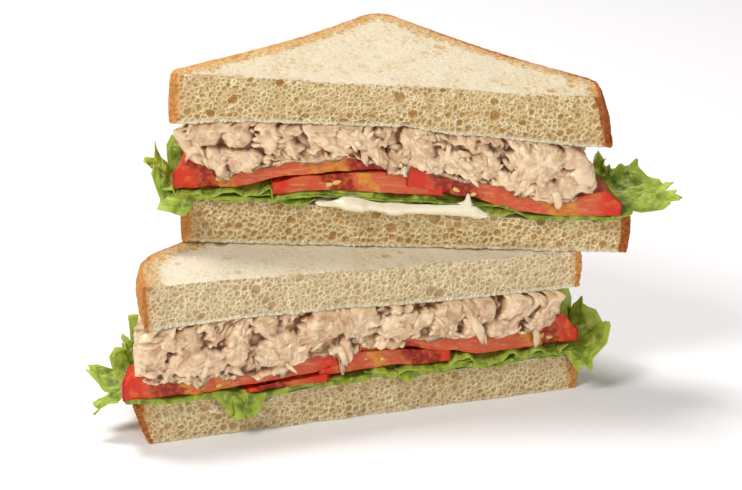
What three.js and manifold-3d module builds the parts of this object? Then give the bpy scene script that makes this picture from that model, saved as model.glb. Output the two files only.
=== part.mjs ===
// A chicken salad sandwich on sliced white bread, cut corner to corner, with one half laid on the other.
// Millimetres, +Z up. The origin is on the table, under the middle of the stack.
// Each half has a frame of its own: X along its cut face, Y back from the cut face, Z up from its base.

import * as THREE from "three";
import { mergeVertices } from "three/addons/utils/BufferGeometryUtils.js";
import Module from "manifold-3d";

const wasm = await Module();
wasm.setup();

// Sizes that both halves share
const GAP = 0.3; // clear space between pieces that touch
const LOOSE = 0.8; // clear space between the bread and the soft layers on it
const LEAF = 0.6; // thickness of a lettuce leaf
const CRUST_BULGE = 1.8; // how far a slice's crust stands out at half height
const EDGE_ROUND = 0.7; // rounding of a slice's edges
const RAKE = 0.059; // rise of a top slice from its cut face to its back corner, per millimetre

// How the stack stands: the lower half is turned on the table, and the upper half lies on its top slice
const LOWER_TURN = 17.6; // degrees
const REST_HEIGHT = 51.6; // top of the lower half, at the middle of its cut face
const REST_TILT = { x: 3.4, y: 1.75 }; // degrees
const UPPER_TURN = -14.65; // degrees
const UPPER_SHIFT = { x: 16.9, y: 13.5 };
const STACK_MIDDLE = { x: 3.83, y: 33.69 }; // middle of the stack's outline, from the middle of the lower cut face

const COLOURS = {
  bread: 0xe8d7ae,
  chicken: 0xe3c3a6,
  tomato: 0xc8402a,
  lettuce: 0x7da63a,
  mayonnaise: 0xf1e6c8,
};

const degrees = (value) => THREE.MathUtils.degToRad(value);
const mix = THREE.MathUtils.lerp;
const smooth = THREE.MathUtils.smoothstep;

// A curve through a few [x, value] points, level beyond the first and the last
function along(points) {
  return (x) => {
    const next = points.findIndex((point) => point[0] > x);
    if (next === 0) return points[0][1];
    if (next === -1) return points[points.length - 1][1];
    const [x0, value0] = points[next - 1];
    const [x1, value1] = points[next];
    return mix(value0, value1, smooth(x, x0, x1));
  };
}

// A repeatable random number from 0 to 1
function draws(seed) {
  let state = seed;
  return () => {
    state = (state * 16807) % 2147483647;
    return state / 2147483647;
  };
}

// A closed mesh from loops of equal length, stacked from a lower pole to an upper pole.
// Each quad is split along its shorter diagonal in plan, so both faces of a thin piece are split alike.
function shell(lowPole, loops, highPole) {
  const count = loops[0].length;
  const points = [lowPole, ...loops.flat(), highPole];
  const faces = [];
  const at = (loop, i) => 1 + loop * count + (i % count);
  const plan = (a, b) => Math.hypot(points[a].x - points[b].x, points[a].y - points[b].y);
  for (let i = 0; i < count; i += 1) {
    faces.push([0, at(0, i + 1), at(0, i)]);
    faces.push([points.length - 1, at(loops.length - 1, i), at(loops.length - 1, i + 1)]);
    for (let loop = 0; loop + 1 < loops.length; loop += 1) {
      const [a, b] = [at(loop, i), at(loop, i + 1)];
      const [c, d] = [at(loop + 1, i + 1), at(loop + 1, i)];
      if (plan(a, c) <= plan(b, d)) faces.push([a, b, c], [a, c, d]);
      else faces.push([a, b, d], [b, c, d]);
    }
  }
  const geometry = new THREE.BufferGeometry().setFromPoints(points);
  geometry.setIndex(faces.flat());
  return geometry;
}

function toSolid(geometry) {
  const vertProperties = new Float32Array(geometry.getAttribute("position").array);
  const triVerts = new Uint32Array(geometry.getIndex().array);
  return new wasm.Manifold(new wasm.Mesh({ numProp: 3, vertProperties, triVerts }));
}

function toGeometry(solid) {
  const mesh = solid.getMesh();
  const geometry = new THREE.BufferGeometry();
  geometry.setAttribute("position", new THREE.BufferAttribute(mesh.vertProperties, 3));
  geometry.setIndex(new THREE.BufferAttribute(mesh.triVerts, 1));
  return geometry;
}

// The largest body that a cut leaves, without loose scraps
function largest(solid) {
  const bodies = solid.decompose();
  bodies.sort((a, b) => b.volume() - a.volume());
  return bodies[0];
}

// A closed outline in plan, counter-clockwise, from corners with radii. A corner's bow is how far the stretch
// after it curves in. steps is the number of points on each stretch, and arc the number on each round corner.
function outline(corners, steps, arc = 4) {
  const points = [];
  const count = corners.length;
  const tangents = corners.map((corner, i) => {
    const here = new THREE.Vector2(corner.x, corner.y);
    const last = corners[(i + count - 1) % count];
    const next = corners[(i + 1) % count];
    const back = new THREE.Vector2(last.x, last.y).sub(here).normalize();
    const on = new THREE.Vector2(next.x, next.y).sub(here).normalize();
    const half = Math.acos(THREE.MathUtils.clamp(back.dot(on), -1, 1)) / 2;
    const reach = (corner.radius ?? 0) / Math.tan(half);
    return { here, start: back.multiplyScalar(reach).add(here), end: on.multiplyScalar(reach).add(here) };
  });
  tangents.forEach(({ here, start, end }, i) => {
    if (start.distanceTo(end) > 1e-6) {
      const curve = new THREE.QuadraticBezierCurve(start, here, end);
      points.push(...curve.getPoints(arc).slice(0, -1));
    }
    const next = tangents[(i + 1) % count].start;
    const inward = new THREE.Vector2(end.y - next.y, next.x - end.x).normalize();
    for (let step = 0; step < steps[i]; step += 1) {
      const t = step / steps[i];
      points.push(end.clone().lerp(next, t).addScaledVector(inward, (corners[i].bow ?? 0) * Math.sin(Math.PI * t)));
    }
  });
  return points;
}

// Outward directions at the points of an outline
function outward(points) {
  return points.map((_, i) => {
    const last = points[(i + points.length - 1) % points.length];
    const next = points[(i + 1) % points.length];
    return new THREE.Vector2(next.y - last.y, last.x - next.x).normalize();
  });
}

function grown(points, distance) {
  const directions = outward(points);
  return points.map((point, i) => point.clone().addScaledVector(directions[i], distance));
}

function middle(points) {
  return points.reduce((sum, point) => sum.add(point), new THREE.Vector2()).divideScalar(points.length);
}

// A layer between the heights low(x, y) and high(x, y).
// Its side runs from the outline below to the outline above, and rim(i) is how far point i bulges at half height.
function layer({ below, above = below, low, high, rim = () => 0, inset = 0, rings = [0.5], levels = 3 }) {
  const centre = middle(below);
  const directions = outward(below);
  const place = (point, height) => new THREE.Vector3(point.x, point.y, height(point.x, point.y));
  const ring = (points, fraction, height) =>
    points.map((point) => place(centre.clone().lerp(point, fraction), height));
  const side = [];
  for (let level = 0; level <= levels; level += 1) {
    const t = level / levels;
    side.push(
      below.map((point, i) => {
        const spread = rim(i) * Math.sin(Math.PI * t) - (level === 0 || level === levels ? inset : 0);
        const flat = point.clone().lerp(above[i], t).addScaledVector(directions[i], spread);
        return new THREE.Vector3(flat.x, flat.y, mix(low(flat.x, flat.y), high(flat.x, flat.y), t));
      }),
    );
  }
  return shell(
    place(centre, low),
    [
      ...rings.map((fraction) => ring(below, fraction, low)),
      ...side,
      ...rings.toReversed().map((fraction) => ring(above, fraction, high)),
    ],
    place(centre, high),
  );
}

// Bread: half of a square slice, its long side the cut face and the other two in soft crust
const CUT_STEPS = 16;
const SIDE_STEPS = 7;

function corners({ left, right, apex }) {
  return [
    { x: left.x, y: 0 },
    { x: right.x, y: 0 },
    { x: right.x + right.lean, y: right.shoulder, radius: right.radius, bow: apex.bow },
    apex,
    { x: left.x + left.lean, y: left.shoulder, radius: left.radius },
  ];
}

function sliceOutline(plan) {
  return outline(corners(plan), [CUT_STEPS, 2, SIDE_STEPS, SIDE_STEPS, 2]);
}

function moved(plan, shift) {
  return {
    left: { ...plan.left, x: plan.left.x + shift.left },
    right: { ...plan.right, x: plan.right.x + shift.right },
    apex: plan.apex,
  };
}

// The cut face is flat, and the crust bulges
function bread({ plan, flare = { left: 0, right: 0 }, low, high }) {
  const below = sliceOutline(plan);
  const above = sliceOutline(moved(plan, flare));
  return layer({
    below,
    above,
    low,
    high,
    inset: EDGE_ROUND,
    rings: [0.7],
    rim: (i) => (i <= CUT_STEPS ? 0 : CRUST_BULGE),
  });
}

// Tomato: a slice of a round tomato, cut through with the bread, its skin at the round rim
const TOMATO_FRONT = 9;
const TOMATO_ARC = 13;
const SKIN_BULGE = 1;

function tomatoOutline({ middle: centre, across, deep, front }, extra = 0, skin = 0) {
  const reach = Math.acos(THREE.MathUtils.clamp((front - centre.y) / deep, -1, 1));
  const rim = [];
  for (let step = 0; step <= TOMATO_ARC; step += 1) {
    const angle = Math.PI / 2 + mix(-reach, reach, step / TOMATO_ARC);
    const [x, y] = [(across + skin) * Math.cos(angle), (deep + skin) * Math.sin(angle)];
    rim.push(new THREE.Vector2(centre.x + x, centre.y + y));
  }
  const [first, last] = [rim[0], rim[rim.length - 1]];
  const chord = [];
  for (let step = 1; step < TOMATO_FRONT; step += 1) chord.push(last.clone().lerp(first, step / TOMATO_FRONT));
  return grown([...rim, ...chord], extra);
}

function tomato(slice, extra = 0) {
  return layer({
    below: tomatoOutline(slice, extra),
    low: (x) => slice.low(x) - extra,
    high: (x) => slice.high(x) + extra,
    rim: (i) => (i > 0 && i < TOMATO_ARC ? SKIN_BULGE : 0),
    inset: 0.4,
    levels: 2,
  });
}

// The room that a tomato slice takes up, down to the bread, so that no chicken lies under it
function tomatoRoom(slice) {
  const below = tomatoOutline(slice, GAP, SKIN_BULGE);
  return layer({ below, low: () => 0, high: (x) => slice.high(x) + LOOSE, levels: 1 });
}

// Lettuce: one leaf that runs through the half and stands out in frilled lobes.
// A lobe is placed by millimetres along the edge, counted from the left end of the cut face. It is wide at its
// foot, reaches out from the bread, and climbs by lift degrees, or droops where lift is negative.
const LEAF_RINGS = [0.4, 0.8];
const FRILL_RINGS = [0.5, 1];
const LEAF_MARGIN = 1.3; // how far outside the bread the leaf starts to turn
const FINE_STEP = 3.4; // spacing of points near the ends of the cut face
const COARSE_STEP = 9.5; // spacing elsewhere
const FINE_REACH = 30; // how far along the edge the fine spacing runs from an end

// Points along a leaf's edge, with their distances along it
function leafEdge({ left, right, apex }) {
  const edge = grown(outline(corners({ left, right, apex }), [12, 6, 12, 12, 6], 6), LEAF_MARGIN);
  const path = new THREE.CurvePath();
  edge.forEach((point, i) => path.add(new THREE.LineCurve(point, edge[(i + 1) % edge.length])));
  const length = path.getLength();
  const ends = [0, right.x - left.x, length];
  const stations = [];
  let here = 0;
  while (here < length - FINE_STEP / 2) {
    stations.push({ along: here, point: path.getPointAt(here / length) });
    const near = Math.min(...ends.map((end) => Math.abs(here - end))) < FINE_REACH;
    here += near ? FINE_STEP : COARSE_STEP;
  }
  return { stations, length };
}

function lobeAt(lobes, along, length, base) {
  let { reach, lift } = base;
  for (const lobe of lobes) {
    const away = Math.abs(along - lobe.at);
    const share = 1 - smooth(Math.min(away, length - away) / (lobe.wide / 2), 0.3, 1);
    reach = mix(reach, lobe.reach, share);
    lift = mix(lift, lobe.lift, share);
  }
  return { reach, lift };
}

function leaf({ plan, bed, lobes, frill, ruffle, thickness = LEAF }) {
  const { stations, length } = leafEdge(plan);
  const edge = stations.map(({ point }) => point);
  const directions = outward(edge);
  const centre = middle(edge);
  const rows = [...LEAF_RINGS, 1].map((fraction) =>
    edge.map((point) => {
      const flat = centre.clone().lerp(point, fraction);
      return new THREE.Vector3(flat.x, flat.y, bed(flat.x, flat.y));
    }),
  );
  for (const fraction of FRILL_RINGS) {
    rows.push(
      stations.map(({ along, point }, i) => {
        const { reach, lift } = lobeAt(lobes, along, length, frill);
        const climb = degrees(lift);
        const wave = fraction * Math.min(reach / 4, ruffle.high) * Math.sin((2 * Math.PI * along) / ruffle.length);
        const out = reach * fraction * Math.cos(climb) + Math.abs(wave * Math.sin(climb));
        const up = reach * fraction * Math.sin(climb) + wave * Math.cos(climb);
        const flat = point.clone().addScaledVector(directions[i], out);
        return new THREE.Vector3(flat.x, flat.y, bed(point.x, point.y) + up);
      }),
    );
  }
  return sheet(new THREE.Vector3(centre.x, centre.y, bed(centre.x, centre.y)), rows, thickness);
}

// A thin solid of even thickness about a surface given by its middle point and the rows round it
function sheet(pole, rows, thickness) {
  const normals = rows.map((row, r) =>
    row.map((_, i) => {
      const round = row[(i + 1) % row.length].clone().sub(row[(i + row.length - 1) % row.length]);
      const inner = r === 0 ? pole : rows[r - 1][i];
      const outer = r + 1 < rows.length ? rows[r + 1][i] : row[i];
      return outer.clone().sub(inner).cross(round).normalize();
    }),
  );
  const face = (side) =>
    rows.map((row, r) => row.map((point, i) => point.clone().addScaledVector(normals[r][i], (side * thickness) / 2)));
  const up = new THREE.Vector3(0, 0, thickness / 2);
  return shell(pole.clone().sub(up), [...face(-1), ...face(1).toReversed()], pole.clone().add(up));
}

// Mayonnaise: a soft patch on the bread that oozes out a little at the cut face
const SLOPE_TOP = 4; // how far out from the mayonnaise the leaf over it starts to slope down
const SLOPE_FOOT = 14; // and where it meets the bread

function patch({ left, right, front, back }) {
  const rounding = 7;
  return outline(
    [
      { x: left, y: front, radius: 2 },
      { x: right, y: front, radius: 2 },
      { x: right, y: back, radius: rounding },
      { x: left, y: back, radius: rounding },
    ],
    [8, 2, 5, 2],
    2,
  );
}

// How far the leaf is lifted over a spread, from 0 on bare bread to 1 over the mayonnaise
function heap({ left, right, back }, x, y) {
  const rise = smooth(x, left - SLOPE_FOOT, left - SLOPE_TOP);
  const fall = smooth(x, right + SLOPE_TOP, right + SLOPE_FOOT);
  return rise * (1 - fall) * (1 - smooth(y, back + SLOPE_TOP, back + SLOPE_FOOT));
}

function mayonnaise(spread, floor) {
  const uneven = (x) => mix(0.75, 1, Math.sin(0.21 * x) ** 2);
  const high = (x, y) => floor(x, y) + spread.thick * uneven(x);
  return layer({ below: patch(spread), low: floor, high, inset: 0.5, rim: () => 0.5 });
}

// Chicken salad: a core between the tomato and the upper slice, with the chunks and flakes that show fused on
const CORE_STEPS = [16, 2, 8, 8, 2];

function chunk({ x, y, z, length, width, depth, tilt, turn = 0 }, random, high) {
  const detail = length > 13 ? 1 : 0;
  const ball = new THREE.IcosahedronGeometry(0.5, detail);
  ball.deleteAttribute("normal");
  ball.deleteAttribute("uv");
  const piece = mergeVertices(ball);
  const position = piece.getAttribute("position");
  for (let i = 0; i < position.count; i += 1) {
    const swell = mix(0.86, 1.14, random());
    position.setXYZ(i, position.getX(i) * swell, position.getY(i) * swell, position.getZ(i) * swell);
  }
  piece.scale(length, depth, width);
  piece.rotateY(-degrees(tilt));
  piece.rotateZ(turn);
  piece.translate(x, y, z);
  for (let i = 0; i < position.count; i += 1) {
    position.setZ(i, Math.min(position.getZ(i), high(position.getX(i), position.getY(i)) - 2 * GAP));
  }
  return toSolid(piece);
}

function chicken({ plan, flare, low, high, chunks, seed, flakes }) {
  const random = draws(seed);
  const below = outline(corners(plan), CORE_STEPS);
  const above = outline(corners(moved(plan, flare)), CORE_STEPS);
  const core = layer({ below, above, low, high, inset: 1, rim: () => 0.8, rings: [0.6] });
  const pieces = chunks.map(([x, z, length, width, tilt]) =>
    chunk({ x, y: 0.2, z, length, width, depth: mix(5, 7, random()), tilt }, random, high),
  );
  const directions = outward(below);
  const sides = below.length - CORE_STEPS[0];
  for (let flake = 0; flake < flakes; flake += 1) {
    const i = CORE_STEPS[0] + 2 + Math.floor((sides - 4) * (flake / flakes));
    const spot = below[i].clone().addScaledVector(directions[i], mix(-0.5, 1.5, random()));
    const height = mix(0.2, 0.85, random());
    pieces.push(
      chunk(
        {
          x: spot.x,
          y: spot.y,
          z: mix(low(spot.x, spot.y), high(spot.x, spot.y), height),
          length: mix(8, 13, random()),
          width: mix(4, 7, random()),
          depth: mix(4, 6, random()),
          tilt: mix(-60, 60, random()),
          turn: Math.atan2(directions[i].y, directions[i].x) + Math.PI / 2,
        },
        random,
        high,
      ),
    );
  }
  return wasm.Manifold.union([toSolid(core), ...pieces]);
}

// One half: two slices, a leaf, mayonnaise, tomato slices and the chicken salad between them
function half(name, spec) {
  const { base, lid, spread } = spec;
  const floor = (x, y) => base.high(x, y) + LOOSE;
  const bed = (x, y) => {
    const wave = spec.leaf.wave * (0.5 + 0.5 * Math.sin(0.23 * x + 1) * Math.cos(0.19 * y));
    const lift = spread ? (spread.thick + LOOSE) * heap(spread, x, y) : 0;
    return floor(x, y) + LEAF / 2 + wave + lift;
  };
  const green = leaf({ ...spec.leaf, bed });
  const greenRoom = toSolid(leaf({ ...spec.leaf, bed, thickness: LEAF + 2 * GAP }));
  const rooms = spec.tomatoes.map((slice) => toSolid(tomato(slice, GAP)));
  const slices = spec.tomatoes.map((slice, i) => {
    const later = rooms.slice(i + 1);
    return largest(later.reduce((rest, room) => rest.subtract(room), toSolid(tomato(slice)).subtract(greenRoom)));
  });
  const low = (x, y) => bed(x, y) + LEAF / 2 + GAP + 1;
  const high = (x, y) => lid.low(x, y) - 2 * GAP;
  const cutters = [
    ...spec.tomatoes.map((slice) => toSolid(tomatoRoom(slice))),
    greenRoom,
  ];
  const salad = cutters.reduce((rest, cutter) => rest.subtract(cutter), chicken({ ...spec.chicken, low, high }));

  const group = new THREE.Group();
  const add = (piece, geometry, colour, roughness) => {
    geometry.computeVertexNormals();
    const material = new THREE.MeshStandardMaterial({ color: colour, roughness, metalness: 0 });
    const mesh = new THREE.Mesh(geometry, material);
    mesh.name = `${name}_${piece}`;
    group.add(mesh);
  };
  add("bottom_slice", bread(base), COLOURS.bread, 0.9);
  add("lettuce", green, COLOURS.lettuce, 0.45);
  if (spread) add("mayonnaise", mayonnaise(spread, floor), COLOURS.mayonnaise, 0.3);
  slices.forEach((slice, i) => add(`tomato_${i + 1}`, toGeometry(slice), COLOURS.tomato, 0.3));
  add("chicken", toGeometry(largest(salad)), COLOURS.chicken, 0.4);
  add("top_slice", bread(lid), COLOURS.bread, 0.9);
  return group;
}

// The height of a layer: a line along the cut face, which fades to a level value towards the back
const fading = (line, level) => (x, y) => mix(line(x), level, smooth(y, 5, 35));
const raked = (line) => (x, y) => line(x) + RAKE * y;

const LOWER_PLAN = {
  left: { x: -73.5, lean: 2, shoulder: 21, radius: 24 },
  right: { x: 73.5, lean: -1, shoulder: 7, radius: 6 },
  apex: { x: -2, y: 72, radius: 9, bow: 1 },
};

const UPPER_PLAN = {
  left: { x: -73.5, lean: 1, shoulder: 5, radius: 4 },
  right: { x: 73, lean: 1, shoulder: 15, radius: 9 },
  apex: { x: -4, y: 73, radius: 8, bow: 1 },
};

const LID_PLAN = {
  left: { x: -78, lean: 0.5, shoulder: 3.5, radius: 3 },
  right: { x: 65, lean: 1, shoulder: 15, radius: 9 },
  apex: { x: -9, y: 70.5, radius: 8, bow: 2.5 },
};

const lowerHalf = half("lower", {
  base: {
    plan: LOWER_PLAN,
    flare: { left: -4.5, right: 0 },
    low: () => 0,
    high: fading(along([[-74, 14.3], [-50, 13.4], [-33, 12], [-13, 13.2], [8, 13.2], [40, 12.6], [73, 13.4]]), 14),
  },
  lid: {
    plan: LOWER_PLAN,
    low: raked(along([[-73, 39], [-43, 39.7], [-14, 38.9], [22, 37.4], [72, 36.7]])),
    high: (x, y) => REST_HEIGHT - Math.tan(degrees(REST_TILT.y)) * x + RAKE * y,
  },
  leaf: {
    plan: { ...LOWER_PLAN, left: { ...LOWER_PLAN.left, x: -79 }, right: { ...LOWER_PLAN.right, x: 75 } },
    wave: 1.2,
    ruffle: { length: 11, high: 2 },
    frill: { reach: 1.2, lift: -60 },
    lobes: [
      { at: 265, wide: 190, reach: 6, lift: 12 },
      { at: 36, wide: 18, reach: 8, lift: -84 },
      { at: 92, wide: 8, reach: 3, lift: -80 },
      { at: 153, wide: 9, reach: 7, lift: -45 },
      { at: 159, wide: 10, reach: 8, lift: 20 },
      { at: 165, wide: 10, reach: 12, lift: 60 },
      { at: 172, wide: 12, reach: 19, lift: 78 },
      { at: 366, wide: 9, reach: 14, lift: -40 },
      { at: 358, wide: 10, reach: 13, lift: 12 },
      { at: 349, wide: 12, reach: 11, lift: 62 },
      { at: 336, wide: 16, reach: 20, lift: 86 },
    ],
  },
  tomatoes: [
    {
      middle: { x: -2, y: 42 }, across: 22, deep: 21, front: 15,
      low: () => 18, high: () => 24,
    },
    {
      middle: { x: -28, y: 2 }, across: 14, deep: 12, front: -1.6,
      low: along([[-41, 14.2], [-16, 14.6]]), high: along([[-41, 15.6], [-30, 16.4], [-16, 17.2]]),
    },
    {
      middle: { x: 5, y: -6 }, across: 23, deep: 24, front: -1,
      low: along([[-16, 16.8], [8, 17.2], [18, 15.8], [27, 16.2]]), high: along([[-16, 19], [-4, 23.4], [28, 21]]),
    },
    {
      middle: { x: -46, y: -6 }, across: 36, deep: 28, front: -1.2,
      low: along([[-81, 16.4], [-60, 15.6], [-40, 16.8], [-20, 18], [-11, 20]]),
      high: along([[-81, 24.5], [-69, 22.8], [-46, 20.8], [-33, 20.6], [-18, 25]]),
    },
    {
      middle: { x: 34, y: -6 }, across: 39, deep: 30, front: -1.3,
      low: along([[-5, 24], [12, 23], [27, 20], [38, 17.6], [73, 18]]),
      high: along([[-5, 25.5], [20, 26.2], [50, 24.2], [60, 25], [68, 28.5]]),
    },
  ],
  chicken: {
    plan: {
      left: { x: -77, lean: 3, shoulder: 20, radius: 20 },
      right: { x: 62, lean: 1, shoulder: 9, radius: 6 },
      apex: { x: -3, y: 70, radius: 8 },
    },
    flare: { left: 1, right: 6 },
    seed: 11,
    flakes: 22,
    // Each chunk at the cut face: x, z, length, width and tilt in degrees
    chunks: [
      [-76, 40, 8, 4, 80],
      [-74, 31, 13, 9, 65],
      [-64, 34, 13, 7, -10],
      [-58, 27, 20, 8, 0],
      [-46, 32, 13, 7, 82],
      [-37, 36, 9, 5, -35],
      [-30, 28, 18, 10, 5],
      [-19, 33, 16, 9, 20],
      [-10, 25, 7, 4, -75],
      [-6, 34, 14, 9, 0],
      [9, 31, 14, 8, 0],
      [24, 32, 11, 10, 0],
      [34, 29, 16, 5, -62],
      [37, 33, 9, 7, -60],
      [45, 27, 11, 6, -20],
      [49, 33, 9, 9, 0],
      [56, 24, 8, 3.5, -72],
      [61, 31, 13, 8, 70],
    ],
  },
});

const upperHalf = half("upper", {
  base: {
    plan: UPPER_PLAN,
    low: () => 0,
    high: fading(along([[-74, 15.6], [-35, 14.4], [0, 12.4], [36, 11.4], [64, 11.4], [73, 13.2]]), 14),
  },
  lid: {
    plan: LID_PLAN,
    flare: { left: 0.5, right: -5.5 },
    low: raked(along([[-78, 40.8], [-52, 42], [-5, 41.8], [16, 39.4], [60, 36.6]])),
    high: raked(along([[-78, 57.5], [-10, 55.4], [60, 53.7]])),
  },
  leaf: {
    plan: { ...UPPER_PLAN, left: { ...UPPER_PLAN.left, x: -75 }, right: { ...UPPER_PLAN.right, x: 71 } },
    wave: 0.5,
    ruffle: { length: 11, high: 1.8 },
    frill: { reach: 1, lift: -60 },
    lobes: [
      { at: 265, wide: 190, reach: 6, lift: 12 },
      { at: 72, wide: 110, reach: 0.4, lift: 0 },
      { at: 151, wide: 12, reach: 15, lift: 8 },
      { at: 158, wide: 12, reach: 11, lift: 22 },
      { at: 165, wide: 14, reach: 9, lift: 45 },
      { at: 173, wide: 18, reach: 9, lift: 78 },
      { at: 367, wide: 8, reach: 7, lift: -50 },
      { at: 359, wide: 12, reach: 14, lift: 46 },
      { at: 349, wide: 14, reach: 15, lift: 72 },
    ],
  },
  spread: { left: -30, right: 26, front: -1.6, back: 20, thick: 2.2 },
  tomatoes: [
    {
      middle: { x: -4, y: 43 }, across: 23, deep: 21, front: 15,
      low: () => 18, high: () => 24,
    },
    {
      middle: { x: -17, y: -4 }, across: 28, deep: 26, front: -0.8,
      low: along([[-44, 17.6], [-28, 19.4], [-3, 19], [9, 18.6]]),
      high: along([[-44, 21.8], [-33, 24.3], [-18, 25.6], [-5, 26.6], [4, 24]]),
    },
    {
      middle: { x: -42, y: -4 }, across: 34.5, deep: 28, front: -1.2,
      low: along([[-76, 19], [-60, 19.6], [-36, 24.6], [-22, 26.2], [-8, 27.2]]),
      high: along([[-76, 29], [-58, 25.6], [-36, 30], [-23, 31.5], [-8, 30]]),
    },
    {
      middle: { x: 34, y: -4 }, across: 35.5, deep: 28, front: -1.6,
      low: along([[-1, 21.9], [19, 18.4], [36, 14], [50, 12.8], [69, 13.4]]),
      high: along([[-1, 29.8], [19, 24.9], [50, 18.8], [64, 21.4]]),
    },
  ],
  chicken: {
    plan: {
      left: { x: -70, lean: 1, shoulder: 6, radius: 5 },
      right: { x: 60, lean: 1, shoulder: 14, radius: 9 },
      apex: { x: -6, y: 70, radius: 8 },
    },
    flare: { left: -7, right: -4 },
    seed: 29,
    flakes: 22,
    // Each chunk at the cut face: x, z, length, width and tilt in degrees
    chunks: [
      [-72, 34, 15, 8, -70],
      [-66, 33, 12, 4, -75],
      [-62, 29, 8, 4, 85],
      [-61, 38, 11, 6, 25],
      [-52, 38, 10, 6, 30],
      [-54, 30, 13, 6, 3],
      [-43, 37, 9, 4, 60],
      [-37, 36, 10, 5, 75],
      [-23, 37, 12, 8, -35],
      [-14, 38, 14, 6, -25],
      [-9, 32, 10, 5, -40],
      [5, 35, 11, 11, 0],
      [7, 31, 12, 5, -22],
      [18, 30, 14, 7, -22],
      [27, 31, 10, 8, -22],
      [45, 30, 19, 11, 35],
      [35, 24, 12, 5, -25],
      [46, 21, 9, 6, 0],
      [57, 33, 7, 6, 60],
      [59, 27, 7, 7, -60],
      [56, 23, 8, 5, 10],
    ],
  },
});

// The upper half's base lies on the sloping top of the lower half
upperHalf.rotation.z = degrees(UPPER_TURN);
upperHalf.position.set(UPPER_SHIFT.x, UPPER_SHIFT.y, GAP);
const rest = new THREE.Group();
rest.position.z = REST_HEIGHT;
rest.rotation.set(degrees(REST_TILT.x), degrees(REST_TILT.y), 0, "YXZ");
rest.add(upperHalf);
lowerHalf.add(rest);
lowerHalf.rotation.z = degrees(LOWER_TURN);
lowerHalf.position.set(-STACK_MIDDLE.x, -STACK_MIDDLE.y, 0);

const sandwich = new THREE.Group();
sandwich.add(lowerHalf);

export default sandwich;
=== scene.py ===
import itertools
import math

import bpy
import numpy as np
from mathutils import Matrix
from mathutils.geometry import delaunay_2d_cdt


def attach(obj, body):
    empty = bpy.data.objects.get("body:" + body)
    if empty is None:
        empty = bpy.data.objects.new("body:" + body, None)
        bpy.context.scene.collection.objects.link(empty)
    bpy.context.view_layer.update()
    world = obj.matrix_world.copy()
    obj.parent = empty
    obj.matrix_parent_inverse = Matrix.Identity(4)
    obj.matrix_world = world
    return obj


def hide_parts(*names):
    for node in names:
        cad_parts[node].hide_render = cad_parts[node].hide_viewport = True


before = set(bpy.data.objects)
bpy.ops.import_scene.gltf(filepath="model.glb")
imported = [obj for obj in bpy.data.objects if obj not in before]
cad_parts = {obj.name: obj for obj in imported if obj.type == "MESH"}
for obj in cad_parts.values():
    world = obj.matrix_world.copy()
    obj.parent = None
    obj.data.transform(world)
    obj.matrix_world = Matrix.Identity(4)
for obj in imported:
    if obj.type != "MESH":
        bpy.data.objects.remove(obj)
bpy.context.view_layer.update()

# The stack
# One sandwich is cut corner to corner. The lower half lies on the table, and the upper half lies across it.
# Each half is made in its own frame, in millimetres: X along its cut face, Y back from it, and Z up.
MILLIMETRE = 0.001
STACK_MIDDLE = (3.83, 33.69)
LOWER_TURN = 17.6
REST_HEIGHT = 51.6
REST_TILT_X = 3.4
REST_TILT_Y = 1.75
UPPER_TURN = -14.65
UPPER_SHIFT = (16.9, 13.5)
GAP = 0.3


def turned(degrees, axis):
    return Matrix.Rotation(math.radians(degrees), 4, axis)


lower_half = Matrix.Translation((-STACK_MIDDLE[0], -STACK_MIDDLE[1], 0)) @ turned(LOWER_TURN, "Z")
lower_top = Matrix.Translation((0, 0, REST_HEIGHT)) @ turned(REST_TILT_Y, "Y") @ turned(REST_TILT_X, "X")
upper_half = lower_half @ lower_top @ Matrix.Translation((*UPPER_SHIFT, GAP)) @ turned(UPPER_TURN, "Z")


def piece(name, half, points, faces, material, marks, nodes):
    """A piece of a half: its mesh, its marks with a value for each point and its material."""
    matrix = np.array(half)
    placed = (points @ matrix[:3, :3].T + matrix[:3, 3]) * MILLIMETRE
    mesh = bpy.data.meshes.new(name)
    mesh.from_pydata(placed.tolist(), [], faces)
    mesh.shade_smooth()
    for mark, values in marks.items():
        mesh.attributes.new(mark, "FLOAT", "POINT").data.foreach_set("value", np.asarray(values, np.float32))
    mesh.materials.append(material)
    made = bpy.data.objects.new(name, mesh)
    bpy.context.collection.objects.link(made)
    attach(made, "root")
    if nodes:
        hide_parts(*nodes)


# Bread
# Four half slices of a soft white sandwich loaf, 12 to 19 mm thick: an open net of pale crumb inside a thin
# brown crust. Each has one flat cut face, full of burst bubbles and torn threads, and two sides in crust.
LATTICE = 32
ROW_APART = 0.866
FAR_AWAY = 99.0
CRUST_BULGE = 1.1
EDGE_ROUND = 0.7
CUT_SPACING = 0.26
CRUST_SPACING = 1.0
LEVEL_SPACING = 0.27
BASE_SPACING = 2.5
ARC_STEPS = 14
BUBBLE_TRIES = 9000
BUBBLE_CLOSENESS = 0.72
CUT_BUBBLE_SPREAD = 0.26
TOP_BUBBLE_SPREAD = 0.25
TOP_BUBBLE = 0.8
LARGE_BUBBLES = 0.008
THREADS = 1500
FOOT_THREADS = 600
RAKE = 0.059

# Crumb is painted darker the deeper its bubble or pit, a painted shade towards the hollow and pore colours.
# The pore colour also mottles the crumb at random.
WALL_COLOUR = (0.98, 0.87, 0.57, 1)
CRUMB_COLOUR = (0.63, 0.4, 0.135, 1)
HOLLOW_SHADE_COLOUR = (0.54, 0.31, 0.085, 1)
PORE_AND_SHADE_COLOUR = (0.48, 0.27, 0.075, 1)
# The lit face colour is painted light: laid on the tops, on the cut faces as each slice needs, and on edges.
LIT_FACE_COLOUR = (0.91, 0.84, 0.69, 1)
CRUST_PALE = (0.84, 0.42, 0.12, 1)
CRUST_DARK = (0.44, 0.125, 0.028, 1)


def smooth(x, low, high):
    t = np.clip((np.asarray(x, float) - low) / (high - low), 0, 1)
    return t * t * (3 - 2 * t)


def mix(a, b, share):
    return a + (b - a) * share


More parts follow.
